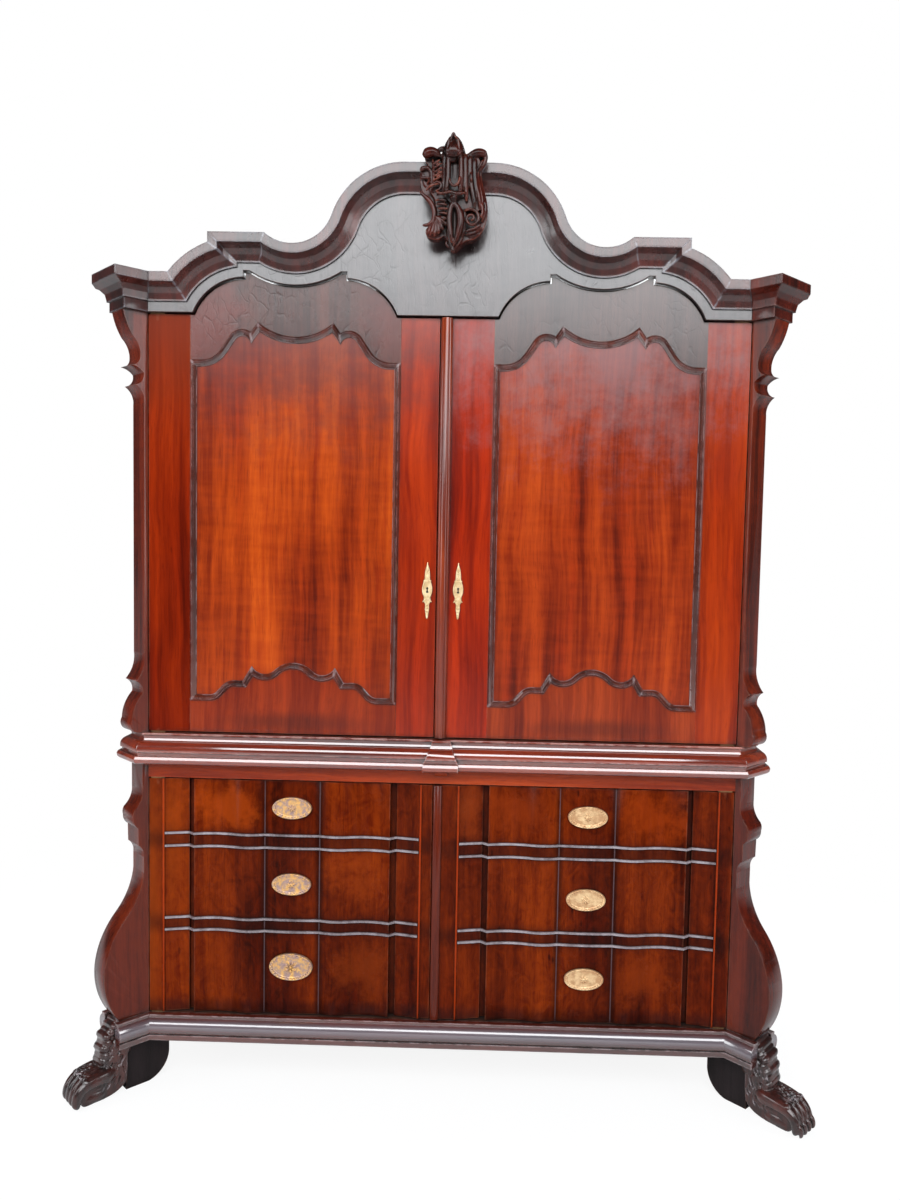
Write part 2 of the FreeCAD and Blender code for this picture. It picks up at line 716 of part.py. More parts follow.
# Cornice line: a serpentine of shoulder, step, trough and middle arch, all offset by one distance.
SHOULDER_CENTRE = (482, 1854)
SHOULDER_RADIUS = 157
STEP_X = 500
STEP_TOP = 2020
TROUGH_RADIUS = 158
TROUGH_START = 447
ARCH_CENTRE = (103, 2065)
TROUGH_X = 363.5
TROUGH_CENTRE = (TROUGH_X, STEP_TOP + math.sqrt(TROUGH_RADIUS ** 2 - (TROUGH_START - TROUGH_X) ** 2))
ARCH_RADIUS = math.dist(TROUGH_CENTRE, ARCH_CENTRE) - TROUGH_RADIUS


def cornice_line(offset, outer_x):
    """Right half of the cornice line, from outer_x to the middle, offset outwards."""
    flat = CORNICE_BASE + offset
    shoulder = SHOULDER_RADIUS + offset
    into = math.degrees(math.asin((flat - SHOULDER_CENTRE[1]) / shoulder))
    step_x = STEP_X + offset
    out_of = math.degrees(math.acos((step_x - SHOULDER_CENTRE[0]) / shoulder))
    has_arc = out_of > into
    trough = TROUGH_RADIUS - offset
    shelf = STEP_TOP + offset
    leave = -math.degrees(math.asin((TROUGH_CENTRE[1] - shelf) / trough))
    tangent = math.degrees(math.atan2(ARCH_CENTRE[1] - TROUGH_CENTRE[1], ARCH_CENTRE[0] - TROUGH_CENTRE[0]))
    turn = on_circle(TROUGH_CENTRE, trough, tangent)
    arch = ARCH_RADIUS + offset
    start = (outer_x, flat)
    steps = [on_circle(SHOULDER_CENTRE, shoulder, into)]
    if has_arc:
        middle = on_circle(SHOULDER_CENTRE, shoulder, (into + out_of) / 2)
        steps.append((middle, on_circle(SHOULDER_CENTRE, shoulder, out_of)))
    steps.append((step_x, shelf))
    steps.append(on_circle(TROUGH_CENTRE, trough, leave))
    steps.append(((TROUGH_CENTRE[0], TROUGH_CENTRE[1] - trough), turn))
    top = (ARCH_CENTRE[0], ARCH_CENTRE[1] + arch)
    half_way = on_circle(ARCH_CENTRE, arch, (math.degrees(math.atan2(turn[1] - ARCH_CENTRE[1],
                                                                     turn[0] - ARCH_CENTRE[0])) + 90) / 2)
    steps.append((half_way, top))
    steps.append((0, top[1]))
    return start, steps


# Top of an upper door, from its stile to its axis: (distance from the axis, height).
DOOR_ARC_RADIUS = 131
DOOR_STEP = 120
DOOR_STEP_TOP = 2000
DOOR_TROUGH_RADIUS = 203.6
DOOR_TROUGH_CENTRE = 2171.6


def door_top(offset, outer, floor):
    """Half of a door's top line, offset outwards, from the stile side to the axis."""
    radius = DOOR_ARC_RADIUS + offset
    centre = (DOOR_STEP - 1, SHOULDER_CENTRE[1])
    flat = floor + offset
    into = math.degrees(math.asin((flat - centre[1]) / radius))
    step_x = DOOR_STEP + offset
    out_of = math.degrees(math.acos((step_x - centre[0]) / radius))
    trough = DOOR_TROUGH_RADIUS - offset
    shelf = DOOR_STEP_TOP + offset
    leave = math.sqrt(trough ** 2 - (DOOR_TROUGH_CENTRE - shelf) ** 2)
    half = leave * 0.5
    start = (outer, flat)
    steps = [on_circle(centre, radius, into),
             (on_circle(centre, radius, (into + out_of) / 2), on_circle(centre, radius, out_of)),
             (step_x, shelf), (leave, shelf),
             ((half, DOOR_TROUGH_CENTRE - math.sqrt(trough ** 2 - half ** 2)),
              (0, DOOR_TROUGH_CENTRE - trough))]
    return start, steps


def shifted(steps, dx):
    """Steps moved along x."""
    return [tuple((x + dx, z) for x, z in step) if isinstance(step[0], tuple) else (step[0] + dx, step[1])
            for step in steps]


WEDGE_REACH = 90


def corner_wedge(sign):
    """Plan of what lies past the front's mitre with a corner piece."""
    inner, outer = sign * (POST_X - MITRE_TANGENT * WEDGE_REACH), sign * (POST_X + WEDGE_REACH)
    return [(sign * POST_X, 0), (inner, -WEDGE_REACH), (outer, -WEDGE_REACH), (outer, 0), (sign * POST_X, 0)]


def upright_prism(plan):
    """Prism over a polygon in plan, taller than the cupboard."""
    return Part.Face(Part.makePolygon([Vector(x, y, 0) for x, y in plan])).extrude(Vector(0, 0, TALL))


def mitre_ends(body):
    """Cut both ends of a front piece to the mitre with the corner pieces."""
    for sign in (-1, 1):
        pocket(body, add_sketch(body, "XY_Plane", chain(*corner_wedge(sign))))


def frieze_board():
    """Arched board behind the cornice; its lower edge follows the tops of the two doors."""
    play = size("arch_play")
    top_start, top_steps = cornice_line(CORNICE_HEIGHT - 8, POST_X)
    axis = size("door_axis_x")
    door_start, door_steps = door_top(play, POST_X - axis, size("door_shoulder"))
    flat = door_start[1]
    corner = (POST_X, flat)
    lower = shifted(door_steps, axis) + shifted(mirrored(door_start, *door_steps)[:-1], axis) + [(0, flat)]
    outline = chain(corner, *lower, *mirrored(corner, *lower))
    outline += chain(top_start, *top_steps, *mirrored(top_start, *top_steps))
    outline += chain(corner, top_start) + chain((-POST_X, flat), (-POST_X, top_start[1]))
    body = new_body("frieze_board")
    sketch = add_sketch(body, "XZ_Plane", outline)
    bind_offset(sketch, "frieze_front")
    pad(body, sketch, "frieze_thickness", backwards=True)
    mitre_ends(body)
    bind(body, base_y="door_plane_y")
    keep(body, "frieze_board")


def cornice_front():
    """The serpentine cornice: one section swept along shoulders, steps, troughs and arch."""
    start, steps = cornice_line(0, POST_X)
    top = steps[-2][1]
    path = [*steps[:-1], (-top[0], top[1]), *mirrored(start, *steps[:-1])]
    profile = [(height, projection) for projection, height in cornice_section(size("frieze_front"))]
    moulding = front_moulding(start, path, chain(*profile, profile[0]))
    for sign in (-1, 1):
        moulding = moulding.cut(upright_prism(corner_wedge(sign)))
    return plain_shape("cornice_front", moulding)


def build_cornice():
    """Frieze board, front cornice and the returns over the corners and sides."""
    frieze_board()
    cornice_front()
    outline = [(0, BAND_BOTTOM), (size("frieze_front"), BAND_BOTTOM), (size("frieze_front"), CORNICE_BASE)]
    outline += [(projection, CORNICE_BASE + height) for projection, height in cornice_section(0)[1:]]
    lead = (POST_X - WEDGE_REACH, 0)
    corner = mitred_run([lead, *corner_path(CORNICE_REACH)], chain(*outline, outline[0]))
    mitre_x, before, reach = POST_X - MITRE_TANGENT * WEDGE_REACH, lead[0] - 1, WEDGE_REACH
    front = [(POST_X, 0), (mitre_x, -reach), (before, -reach), (before, 0), (POST_X, 0)]
    blunt, past = CORNICE_CORNER_X, CORNICE_CORNER_X + reach
    tip = [(blunt, -reach), (past, -reach), (past, reach), (blunt, reach), (blunt, -reach)]
    corner = corner.cut(upright_prism(front)).cut(upright_prism(tip))
    plain_shape("cornice_right", corner)
    plain_shape("cornice_left", mirror_x(corner))


# Crest seen from the front, anticlockwise from its pendant tip: (x, height).
CREST_OUTLINE = (
    (13, 2035), ((26, 2045), (32, 2074)), ((60, 2074), (76, 2101)), ((83, 2140), (78, 2179)),
    ((89, 2218), (91, 2249)), ((68, 2242), (50, 2256)), ((40, 2284), (15, 2297)), ((-4, 2284), (-12, 2261)),
    ((-34, 2248), (-61, 2255)), ((-62, 2224), (-49, 2193)), ((-61, 2160), (-47, 2128)),
    ((-57, 2101), (-45, 2082)), ((-30, 2066), (-8, 2072)), ((2, 2046), (13, 2035)),
)
CREST_SEAT = 44


def crest():
    """Rocaille ornament on the middle of the cornice, fitted over the moulding."""
    body = new_body("crest_block")
    sketch = add_sketch(body, "XZ_Plane", chain(*CREST_OUTLINE))
    bind_offset(sketch, "frieze_front")
    pad(body, sketch, "crest_front - frieze_front")
    top = ARCH_CENTRE[1] + ARCH_RADIUS + CORNICE_HEIGHT
    back = 1 - size("frieze_front")
    relief = chain((back, top), (-CREST_SEAT, top), (-CREST_SEAT, TALL), (back, TALL), (back, top))
    pocket(body, add_sketch(body, "YZ_Plane", relief))
    bind(body, base_y="door_plane_y")
    cut = doc.addObject("Part::Cut", "crest")
    cut.Base = body
    cut.Tool = [item for item in sub_parts if item.Label == "cornice_front"][0]
    keep(cut, "crest")


# ---------------------------------------------------------------- upper doors
# Half of each panel edge, from its right-hand corner: straight, cove, straight and hollow-to-round turns
# that run into each other, then a barb up to the middle arc.
PANEL_TOP_Z = 1795
PANEL_BOTTOM_Z = 974
PANEL_TOP_MOVES = (("ahead", 25), ("right", 57, 56), ("ahead", 39), ("left", 36, 91))
PANEL_TOP_BARB = (90, 1886)
PANEL_TOP_MIDDLE = (0, 1852)
PANEL_BOTTOM_MOVES = (("ahead", 47), ("right", 40, 48), ("ahead", 20), ("left", 24, 50), ("ahead", 28))
PANEL_BOTTOM_BARB = (99, 1036)
PANEL_HOLLOW_HEADING = 215
PANEL_HOLLOW_TURN = 80
PANEL_HOLLOW_RADIUS = 50


def follow(start, heading, moves):
    """Steps of straight runs and arcs that are tangent to each other."""
    steps = []
    x, z = start
    angle = math.radians(heading)
    for kind, amount, *turn in moves:
        if kind == "ahead":
            x, z = x + amount * math.cos(angle), z + amount * math.sin(angle)
            steps.append((x, z))
            continue
        side = 1 if kind == "left" else -1
        sweep = side * math.radians(turn[0])
        centre = (x - side * amount * math.sin(angle), z + side * amount * math.cos(angle))
        points = []
        for share in (0.5, 1.0):
            now = angle + sweep * share
            reach = side * amount
            points.append((centre[0] + reach * math.sin(now), centre[1] - reach * math.cos(now)))
        steps.append(tuple(points))
        (x, z), angle = points[1], angle + sweep
    return steps


def panel_top_line():
    """Top edge of a panel, from right to left."""
    start = (size("panel_half_width"), PANEL_TOP_Z)
    rise = follow(start, 180, PANEL_TOP_MOVES)
    return full_line((start, *rise, PANEL_TOP_BARB), PANEL_TOP_MIDDLE)


def panel_bottom_line():
    """Bottom edge of a panel, from right to left."""
    start = (size("panel_half_width"), PANEL_BOTTOM_Z)
    rise = follow(start, 180, PANEL_BOTTOM_MOVES)
    hollow = ("right", PANEL_HOLLOW_RADIUS, PANEL_HOLLOW_TURN)
    fall = follow(PANEL_BOTTOM_BARB, PANEL_HOLLOW_HEADING, [hollow])
    end_x, end_z = fall[-1][1]
    heading = math.radians(PANEL_HOLLOW_HEADING - PANEL_HOLLOW_TURN)
    middle_radius = end_x / math.sin(heading)
    middle = (0, end_z + middle_radius * (1 + math.cos(heading)))
    return full_line((start, *rise, PANEL_BOTTOM_BARB, *fall), middle)


def full_line(half, middle):
    """Steps of a whole panel edge from its right end over its middle arc to its left end."""
    start, *steps = half
    last = steps[-1][1] if isinstance(steps[-1][0], tuple) else steps[-1]
    return start, steps + [(middle, (-last[0], last[1]))] + mirrored(start, *steps)


def door_body(side, sign, piece):
    """Body of a door piece that is drawn round the door's axis."""
    body = new_body(f"upper_door_{side}_{piece}")
    bind(body, base_x=f"{sign} * door_axis_x", base_y="door_plane_y")
    return body


def hinge_stile(label, sign, edges, thickness, bottom, height):
    """Upright on the hinge side, bored at both ends for the pivot pins."""
    body = new_body(label)
    low, high = sorted(sign * edge for edge in edges)
    pad(body, add_sketch(body, "XY_Plane", rectangle(low, high, 0, thickness)), height)
    bore_for_pins(body, sign, height)
    bind(body, base_y="door_plane_y", base_z=bottom)
    keep(body, label)


def bore_for_pins(body, sign, height):
    """Blind bores over the hinge pins, at the bottom and at the top of a door."""
    centre = Vector(sign * size("pivot_x"), size("pivot_depth"), 0)
    for at_top in (False, True):
        sketch = add_sketch(body, "XY_Plane", [Part.Circle(centre, Vector(0, 0, 1), size("bore_radius"))])
        if at_top:
            bind_offset(sketch, height)
        pocket(body, sketch, "bore_depth", backwards=not at_top)


def upper_door(side, sign):
    """Frame-and-panel door with an arched top."""
    half = size("panel_half_width")
    axis = size("door_axis_x")
    bottom = "waist_top + door_play"
    stile_height = "door_shoulder - waist_top - door_play"
    prefix = f"upper_door_{side}"
    edges = (axis + half, size("door_outer"))
    hinge_stile(f"{prefix}_hinge_stile", sign, edges, size("door_thickness"), bottom, stile_height)
    meeting = size("left_meeting") if sign < 0 else -size("right_meeting")
    low, high = sorted((sign * meeting, sign * (axis - half)))
    label = f"{prefix}_lock_stile"
    keep(box(label, str(high - low), "door_thickness", stile_height, str(low), "0", bottom), label)

    top_start, top_steps = door_top(0, half, size("door_shoulder"))
    line_start, line_steps = panel_top_line()
    arch = chain(top_start, *top_steps, *mirrored(top_start, *top_steps))
    cut_line = chain(line_start, *line_steps)
    ends = chain(top_start, line_start) + chain((-half, top_start[1]), (-half, line_start[1]))
    rail = door_body(side, sign, "top_rail")
    pad(rail, add_sketch(rail, "XZ_Plane", arch + cut_line + ends), "door_thickness", backwards=True)
    keep(rail, f"{prefix}_top_rail")

    door_bottom = size("waist_top") + size("door_play")
    low_start, low_steps = panel_bottom_line()
    outline = chain(low_start, *low_steps) + chain((-half, low_start[1]), (-half, door_bottom),
                                                    (half, door_bottom), low_start)
    rail = door_body(side, sign, "bottom_rail")
    pad(rail, add_sketch(rail, "XZ_Plane", outline), "door_thickness", backwards=True)
    keep(rail, f"{prefix}_bottom_rail")

    field = chain(line_start, *line_steps, (-half, low_start[1])) + chain(low_start, *low_steps)
    field += chain(low_start, line_start)
    panel = door_body(side, sign, "panel")
    sketch = add_sketch(panel, "XZ_Plane", field)
    bind_offset(sketch, "-panel_setback")
    pad(panel, sketch, "panel_thickness", backwards=True)
    keep(panel, f"{prefix}_panel")
    panel_moulding(side, sign)


MOULDING_WIDTH = 15
MOULDING_PROUD = 7


def panel_moulding(side, sign):
    """Rounded bead that covers the edge of a panel, mitred at every corner and barb."""
    foot = -size("panel_setback")
    section = chain((0, foot), (0, 2), (4, MOULDING_PROUD), (9, 6), (MOULDING_WIDTH, -1),
                    (MOULDING_WIDTH, foot), (0, foot))
    top_start, top_steps = panel_top_line()
    low_start, low_steps = panel_bottom_line()
    top_corner = (-top_start[0], top_start[1])
    around = [*mirrored(*flip(top_start, *top_steps)), low_start, *low_steps, top_corner]
    bead = front_moulding(top_corner, around, section, closed=True)
    bead.translate(Vector(sign * size("door_axis_x"), 0, 0))
    plain_shape(f"upper_door_{side}_panel_moulding", bead)


# Half outline of a keyhole plate round its middle: (half width, height over the middle of the plate).
ESCUTCHEON_HALF = ((0, -69), ((7, -46), (3, -26)), (10, -20), ((13.1, -4), (9, 10)), (4, 18),
                   ((10, 38), (3, 60)), (0, 69))
ESCUTCHEON_HEIGHT = 1254.5
ESCUTCHEON_X = {"left": -39, "right": 35.5}
KEYHOLE_HEIGHT = 1257


def escutcheon(side):
    """Slender brass keyhole plate."""
    body = new_body(f"upper_door_{side}_escutcheon")
    start, *steps = ESCUTCHEON_HALF
    outline = chain(start, *steps, *mirrored(start, *steps))
    pad(body, add_sketch(body, "XZ_Plane", outline), "escutcheon_thickness")
    hole_z = KEYHOLE_HEIGHT - ESCUTCHEON_HEIGHT
    keyhole = chain((-2, hole_z), ((0, hole_z + 4.5), (2, hole_z)), (1.6, hole_z - 9), (-1.6, hole_z - 9),
                    (-2, hole_z))
    pocket(body, add_sketch(body, "XZ_Plane", keyhole))
    body.Placement.Base = Vector(ESCUTCHEON_X[side], 0, ESCUTCHEON_HEIGHT)
    bind(body, base_y="door_plane_y")
    keep(body, f"upper_door_{side}_escutcheon")


def astragal(label, edges, bottom, height):
    """Rounded strip on the free edge of a right door."""
    body = new_body(label)
    pad(body, add_sketch(body, "XY_Plane", edges), height)
    bind(body, base_y="door_plane_y", base_z=bottom)
    keep(body, label)


def build_upper_doors():
    """Both upper doors with their brass, the astragal and the lock."""
    for side, sign in SIDES:
        upper_door(side, sign)
        escutcheon(side)
    left, right = 1 - size("right_meeting"), 12
    profile = chain((left, 0), (left, -5), ((left + 3, -9), (left + 6, -10)),
                    (((left + right) / 2, -14), (right - 6, -10)), ((right - 3, -9), (right, -5)), (right, 0),
                    (left, 0))
    astragal("upper_door_right_astragal", profile, "waist_top + door_play",
             "door_shoulder - waist_top - door_play")
    case = box("lock_case", "lock_width", "lock_thickness", "lock_height", "4", "door_thickness",
               f"{KEYHOLE_HEIGHT} - 0.46 * lock_height")
    keyway = doc.addObject("Part::Cylinder", "lock_keyway")
    bind(keyway, Radius="keyway_radius", Height="2 * lock_thickness")
    middle = Vector(ESCUTCHEON_X["right"], 0, KEYHOLE_HEIGHT)
    keyway.Placement = Placement(middle, Rotation(Vector(1, 0, 0), -90))
    bind(keyway, base_y="door_plane_y + door_thickness - lock_thickness / 2")
    lock = doc.addObject("Part::Cut", "upper_door_right_lock")
    lock.Base = case
    lock.Tool = keyway
    keep(lock, "upper_door_right_lock")


# ---------------------------------------------------------------- lower doors
STRIP_OUTER, SLOT_OUTER, FACE_OUTER, CREASE = 313, 257, 242, 68
STRIP_RECESS, SLOT_DEPTH, TROUGH_DEPTH, CREASE_DEPTH, MIDDLE_DEPTH = 12, 20, 9, 7, 4
TROUGH, PEAK = 182, 105
VERTICAL_BEAD = 8


def serpentine(offset):
    """Half of the door's curved face in plan, from its slot edge to the axis: (distance, depth)."""
    start = (FACE_OUTER, -offset)
    between = (TROUGH + PEAK) / 2
    steps = [((FACE_OUTER - 28, TROUGH_DEPTH * 0.72 - offset), (TROUGH, TROUGH_DEPTH - offset)),
             ((between + 18, TROUGH_DEPTH * 0.83 - offset), (between, TROUGH_DEPTH / 2 - offset)),
             ((PEAK, -offset), (CREASE, CREASE_DEPTH - offset)),
             ((CREASE * 0.5, MIDDLE_DEPTH + 0.9 - offset), (0, MIDDLE_DEPTH - offset))]
    return start, steps


def lower_front(side, sign):
    """Serpentine door front: stile, bead, slanted strip, slot and the curved middle."""
    axis = size("door_axis_x")
    outer = size("door_outer") - axis
    meeting = size("left_meeting") if sign < 0 else -size("right_meeting")
    inner = -(axis - meeting)
    back = size("lower_door_thickness")
    bead_outer = STRIP_OUTER + VERTICAL_BEAD
    start, steps = serpentine(0)
    half = [(bead_outer, 0), ((bead_outer - VERTICAL_BEAD / 2, -4), (STRIP_OUTER, 0)),
            (SLOT_OUTER, STRIP_RECESS), (SLOT_OUTER, SLOT_DEPTH), (FACE_OUTER, SLOT_DEPTH), start] + steps
    outline = [(outer, back), (outer, 0), *half, *mirrored(half[0], *half[1:])]
    outline += [(inner, 0), (inner, back), (outer, back)]
    body = new_body(f"lower_door_{side}_front")
    plan = [tuple((sign * (x + axis), y) for x, y in step) if isinstance(step[0], tuple) else
            (sign * (step[0] + axis), step[1]) for step in outline]
    height = "rail_bottom - base_top - 2 * door_play"
    pad(body, add_sketch(body, "XY_Plane", chain(*plan)), height)
    bore_for_pins(body, sign, height)
    bind(body, base_y="door_plane_y", base_z="base_top + door_play")
    return keep(body, f"lower_door_{side}_front")


COCK_BEAD_HEIGHTS = {"left": (643, 611, 430, 400), "right": (635, 603, 417, 387)}
# Oval plates, top to bottom: (height, scale of length, scale of height); one is a larger replacement.
PLATES = {
    "left": ((712, 1, 1), (521, 1, 1), (312, 1.11, 1.27)),
    "right": ((708, 1, 1), (502, 1, 1), (302, 1, 1)),
}


PLATE_BED = 12


def cock_beads(side, sign):
    """Two pairs of beads that follow the serpentine face."""
    proud = size("cock_bead_proud")
    axis = size("door_axis_x")
    start, steps = serpentine(0)
    face = [(STRIP_OUTER, 0), (SLOT_OUTER, STRIP_RECESS), start] + steps
    face += mirrored(face[0], *face[1:])
    front_start, front_steps = serpentine(proud)
    front = [(STRIP_OUTER, -proud), (SLOT_OUTER, STRIP_RECESS - proud), front_start] + front_steps
    front += mirrored(front[0], *front[1:])
    edges = chain(*face) + chain(*front)
    edges += chain((STRIP_OUTER, 0), (STRIP_OUTER, -proud)) + chain((-STRIP_OUTER, 0), (-STRIP_OUTER, -proud))
    outline = Part.Wire(Part.__sortEdges__([edge.toShape() for edge in edges]))
    bead = Part.Face(outline).extrude(Vector(0, 0, size("cock_bead_height")))
    beads = []
    for height in COCK_BEAD_HEIGHTS[side]:
        copy = bead.copy()
        copy.translate(Vector(sign * axis, 0, height - size("cock_bead_height") / 2))
        beads.append(copy)
    plain_shape(f"lower_door_{side}_cock_beads", Part.makeCompound(beads))


def oval_plates(side, sign, front):
    """Oval brass plates, bedded on the curved middle of the door."""
    half_length, half_height = size("oval_plate_length") / 2, size("oval_plate_height") / 2
    plates = []
    for height, longer, taller in PLATES[side]:
        ellipse = Part.Ellipse(Vector(0, 0, 0), half_length * longer, half_height * taller).toShape()
        face = Part.Face(Part.Wire([ellipse]))
        middle = Vector(sign * size("door_axis_x"), PLATE_BED, height)
        face.Placement = Placement(middle, Rotation(Vector(1, 0, 0), 90))
        plates.append(face.extrude(Vector(0, -PLATE_BED, 0)).cut(front))
    plain_shape(f"lower_door_{side}_plates", Part.makeCompound(plates))


def build_lower_doors():
    """Both lower doors with their beads, plates and the astragal."""
    for side, sign in SIDES:
        front = lower_front(side, sign)
        doc.recompute()
        cock_beads(side, sign)
        shape = front.Shape.copy()
        shape.translate(Vector(0, -size("door_plane_y"), 0))
        oval_plates(side, sign, shape)
    left, right = -size("right_meeting"), 5
    profile = chain((left, 0), (left, -4), (((left + right) / 2, -9), (right, -4)), (right, 0), (left, 0))
    height = "rail_bottom - base_top - 2 * door_play"
    astragal("lower_door_right_astragal", profile, "base_top + door_play", height)


# ---------------------------------------------------------------- pivot hinges
def hinge_plate(sign, z, thickness, up, pin):
    """Pivot plate lying from z upwards or downwards, with a pin or a hole."""
    half_length, half_width = size("plate_length") / 2, size("plate_width") / 2
    outline = rectangle(-half_length, half_length, -half_width, half_width)
    direction = Vector(0, 0, 1 if up else -1)
    plate = Part.Face(Part.Wire([edge.toShape() for edge in outline])).extrude(direction * thickness)
    if pin:
        plate = plate.fuse(Part.makeCylinder(size("pin_radius"), size("pin_length"), Vector(), direction))
    else:
        plate = plate.cut(Part.makeCylinder(size("hole_radius"), thickness, Vector(), direction))
    plate.translate(Vector(sign * size("pivot_x"), size("pivot_depth"), z))
    return plate


def build_hinges():
    """Pivot plates: pins on the case, holes on the doors."""
    case_plate, door_plate = size("case_plate"), size("door_plate")
    levels = {"upper": (size("waist_top"), BAND_BOTTOM), "lower": (size("base_top"), size("rail_bottom"))}
    play = size("door_play")
    on_case = []
    for level, (floor, ceiling) in levels.items():
        for side, sign in SIDES:
            on_case.append(hinge_plate(sign, floor, case_plate, True, True))
            on_case.append(hinge_plate(sign, ceiling, case_plate, False, True))
            pair = [hinge_plate(sign, floor + play, door_plate, False, False),
                    hinge_plate(sign, ceiling - play, door_plate, True, False)]
            plain_shape(f"{level}_door_{side}_hinge_plates", Part.makeCompound(pair))
    plain_shape("case_hinge_plates", Part.makeCompound(on_case))


# ---------------------------------------------------------------- build, check and write
build_cases()
build_feet_and_consoles()
build_base_and_waist()
build_frieze_rail(keystone())
build_cornice()
crest()
build_upper_doors()
build_lower_doors()
build_hinges()
doc.recompute()

faults = [f"{item.Label}: {item.State}" for item in doc.Objects if {"Invalid", "Error"} & set(item.State)]
for item in sub_parts:
    if item.Shape.isNull() or not item.Shape.isValid():
        faults.append(f"{item.Label}: shape is null or not valid")
if faults:
    raise RuntimeError("\n".join(faults))

os.makedirs("parts", exist_ok=True)
whole = FreeCAD.BoundBox()
triangles = 0
for item in sub_parts:
    item.Shape.exportStep(f"parts/{item.Label}.step")
    whole.add(item.Shape.BoundBox)
    triangles += len(item.Shape.tessellate(0.5)[1])
print(f"{len(sub_parts)} sub-parts, {triangles} triangles, {whole}")
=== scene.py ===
"""Looks of a two-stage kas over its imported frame: finishes, carving, brass, light and camera."""
from __future__ import annotations

import logging
import math
import random
from dataclasses import dataclass
from enum import Enum

import bpy
from mathutils import Matrix, Vector

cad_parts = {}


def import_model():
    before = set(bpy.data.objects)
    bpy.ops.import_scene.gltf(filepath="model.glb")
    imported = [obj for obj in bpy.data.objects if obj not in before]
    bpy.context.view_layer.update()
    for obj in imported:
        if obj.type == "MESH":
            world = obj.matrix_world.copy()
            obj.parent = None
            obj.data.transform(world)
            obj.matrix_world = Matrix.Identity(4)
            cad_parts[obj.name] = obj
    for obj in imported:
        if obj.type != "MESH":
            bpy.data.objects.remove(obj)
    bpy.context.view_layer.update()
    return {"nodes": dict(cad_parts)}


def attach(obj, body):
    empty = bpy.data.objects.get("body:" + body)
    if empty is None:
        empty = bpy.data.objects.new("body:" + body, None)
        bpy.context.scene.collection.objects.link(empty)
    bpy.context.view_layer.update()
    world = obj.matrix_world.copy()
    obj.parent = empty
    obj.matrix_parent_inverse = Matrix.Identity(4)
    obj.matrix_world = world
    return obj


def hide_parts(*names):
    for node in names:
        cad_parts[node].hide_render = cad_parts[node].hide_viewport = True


log = logging.getLogger("kas")

DOOR_PLANE = -0.1743
LOWER_DOOR_MIDDLE = 0.363
MM = 0.001
STAND_UP = Matrix.Rotation(math.pi / 2, 4, "X")

# Sizes in metres, unless a name or a comment says millimetres.
# How each mark of the wood is stretched along the grain, which is the vector's Z.
CLOUD_GRAIN = (1.0, 1.0, 0.16)
STREAK_GRAIN = (1.0, 1.0, 0.035)
RIPPLE_GRAIN = (0.5, 0.5, 2.4)
BLISTER_GRAIN = (1.0, 1.0, 0.6)
FLECK_GRAIN = (1.0, 1.0, 0.35)
CRACK_GRAIN = (1.0, 0.2, 0.42)
CRACK_DRIFT = (0.09, 0.0, 0.09)
# Strength of the marks in the colour and in the relief.
PORE_SHARE = 0.35
STREAK_HEIGHT = 0.35
WAVE_HEIGHT = 2.0
CRACK_DEPTH = 6.0
WOOD_RELIEF = 0.002
METAL_RELIEF = 0.0006
# Age and painted light: rays per sample, dirt and painted shade in the recesses, rubbing and painted
# highlight on the edges, and what age does to the roughness.
RAYS = 6
WOOD_DIRT_AND_SHADE = (0.008, 0.005, 0.004, 1.0)
WOOD_HIGHLIGHT_AND_RUB_REACH = 0.004
METAL_GRIME_REACH = 0.0045
METAL_HIGHLIGHT_AND_RUB_REACH = 0.001
METAL_HIGHLIGHT_AND_RUB = 0.6
RECESS_ROUGHNESS = 0.3
HAZE = 0.14
SPECKLE_ROUGHNESS = 0.25


# ---------------------------------------------------------------- colour and node helpers
def tone(hex_code: str) -> tuple[float, float, float, float]:
    """Linear colour of an sRGB hex code.

    Args:
        hex_code: six hex digits.

    Returns:
        Red, green, blue and alpha.
    """
    channels = [int(hex_code[index:index + 2], 16) / 255 for index in (0, 2, 4)]
    linear = [c / 12.92 if c <= 0.04045 else ((c + 0.055) / 1.055) ** 2.4 for c in channels]
    return linear[0], linear[1], linear[2], 1.0


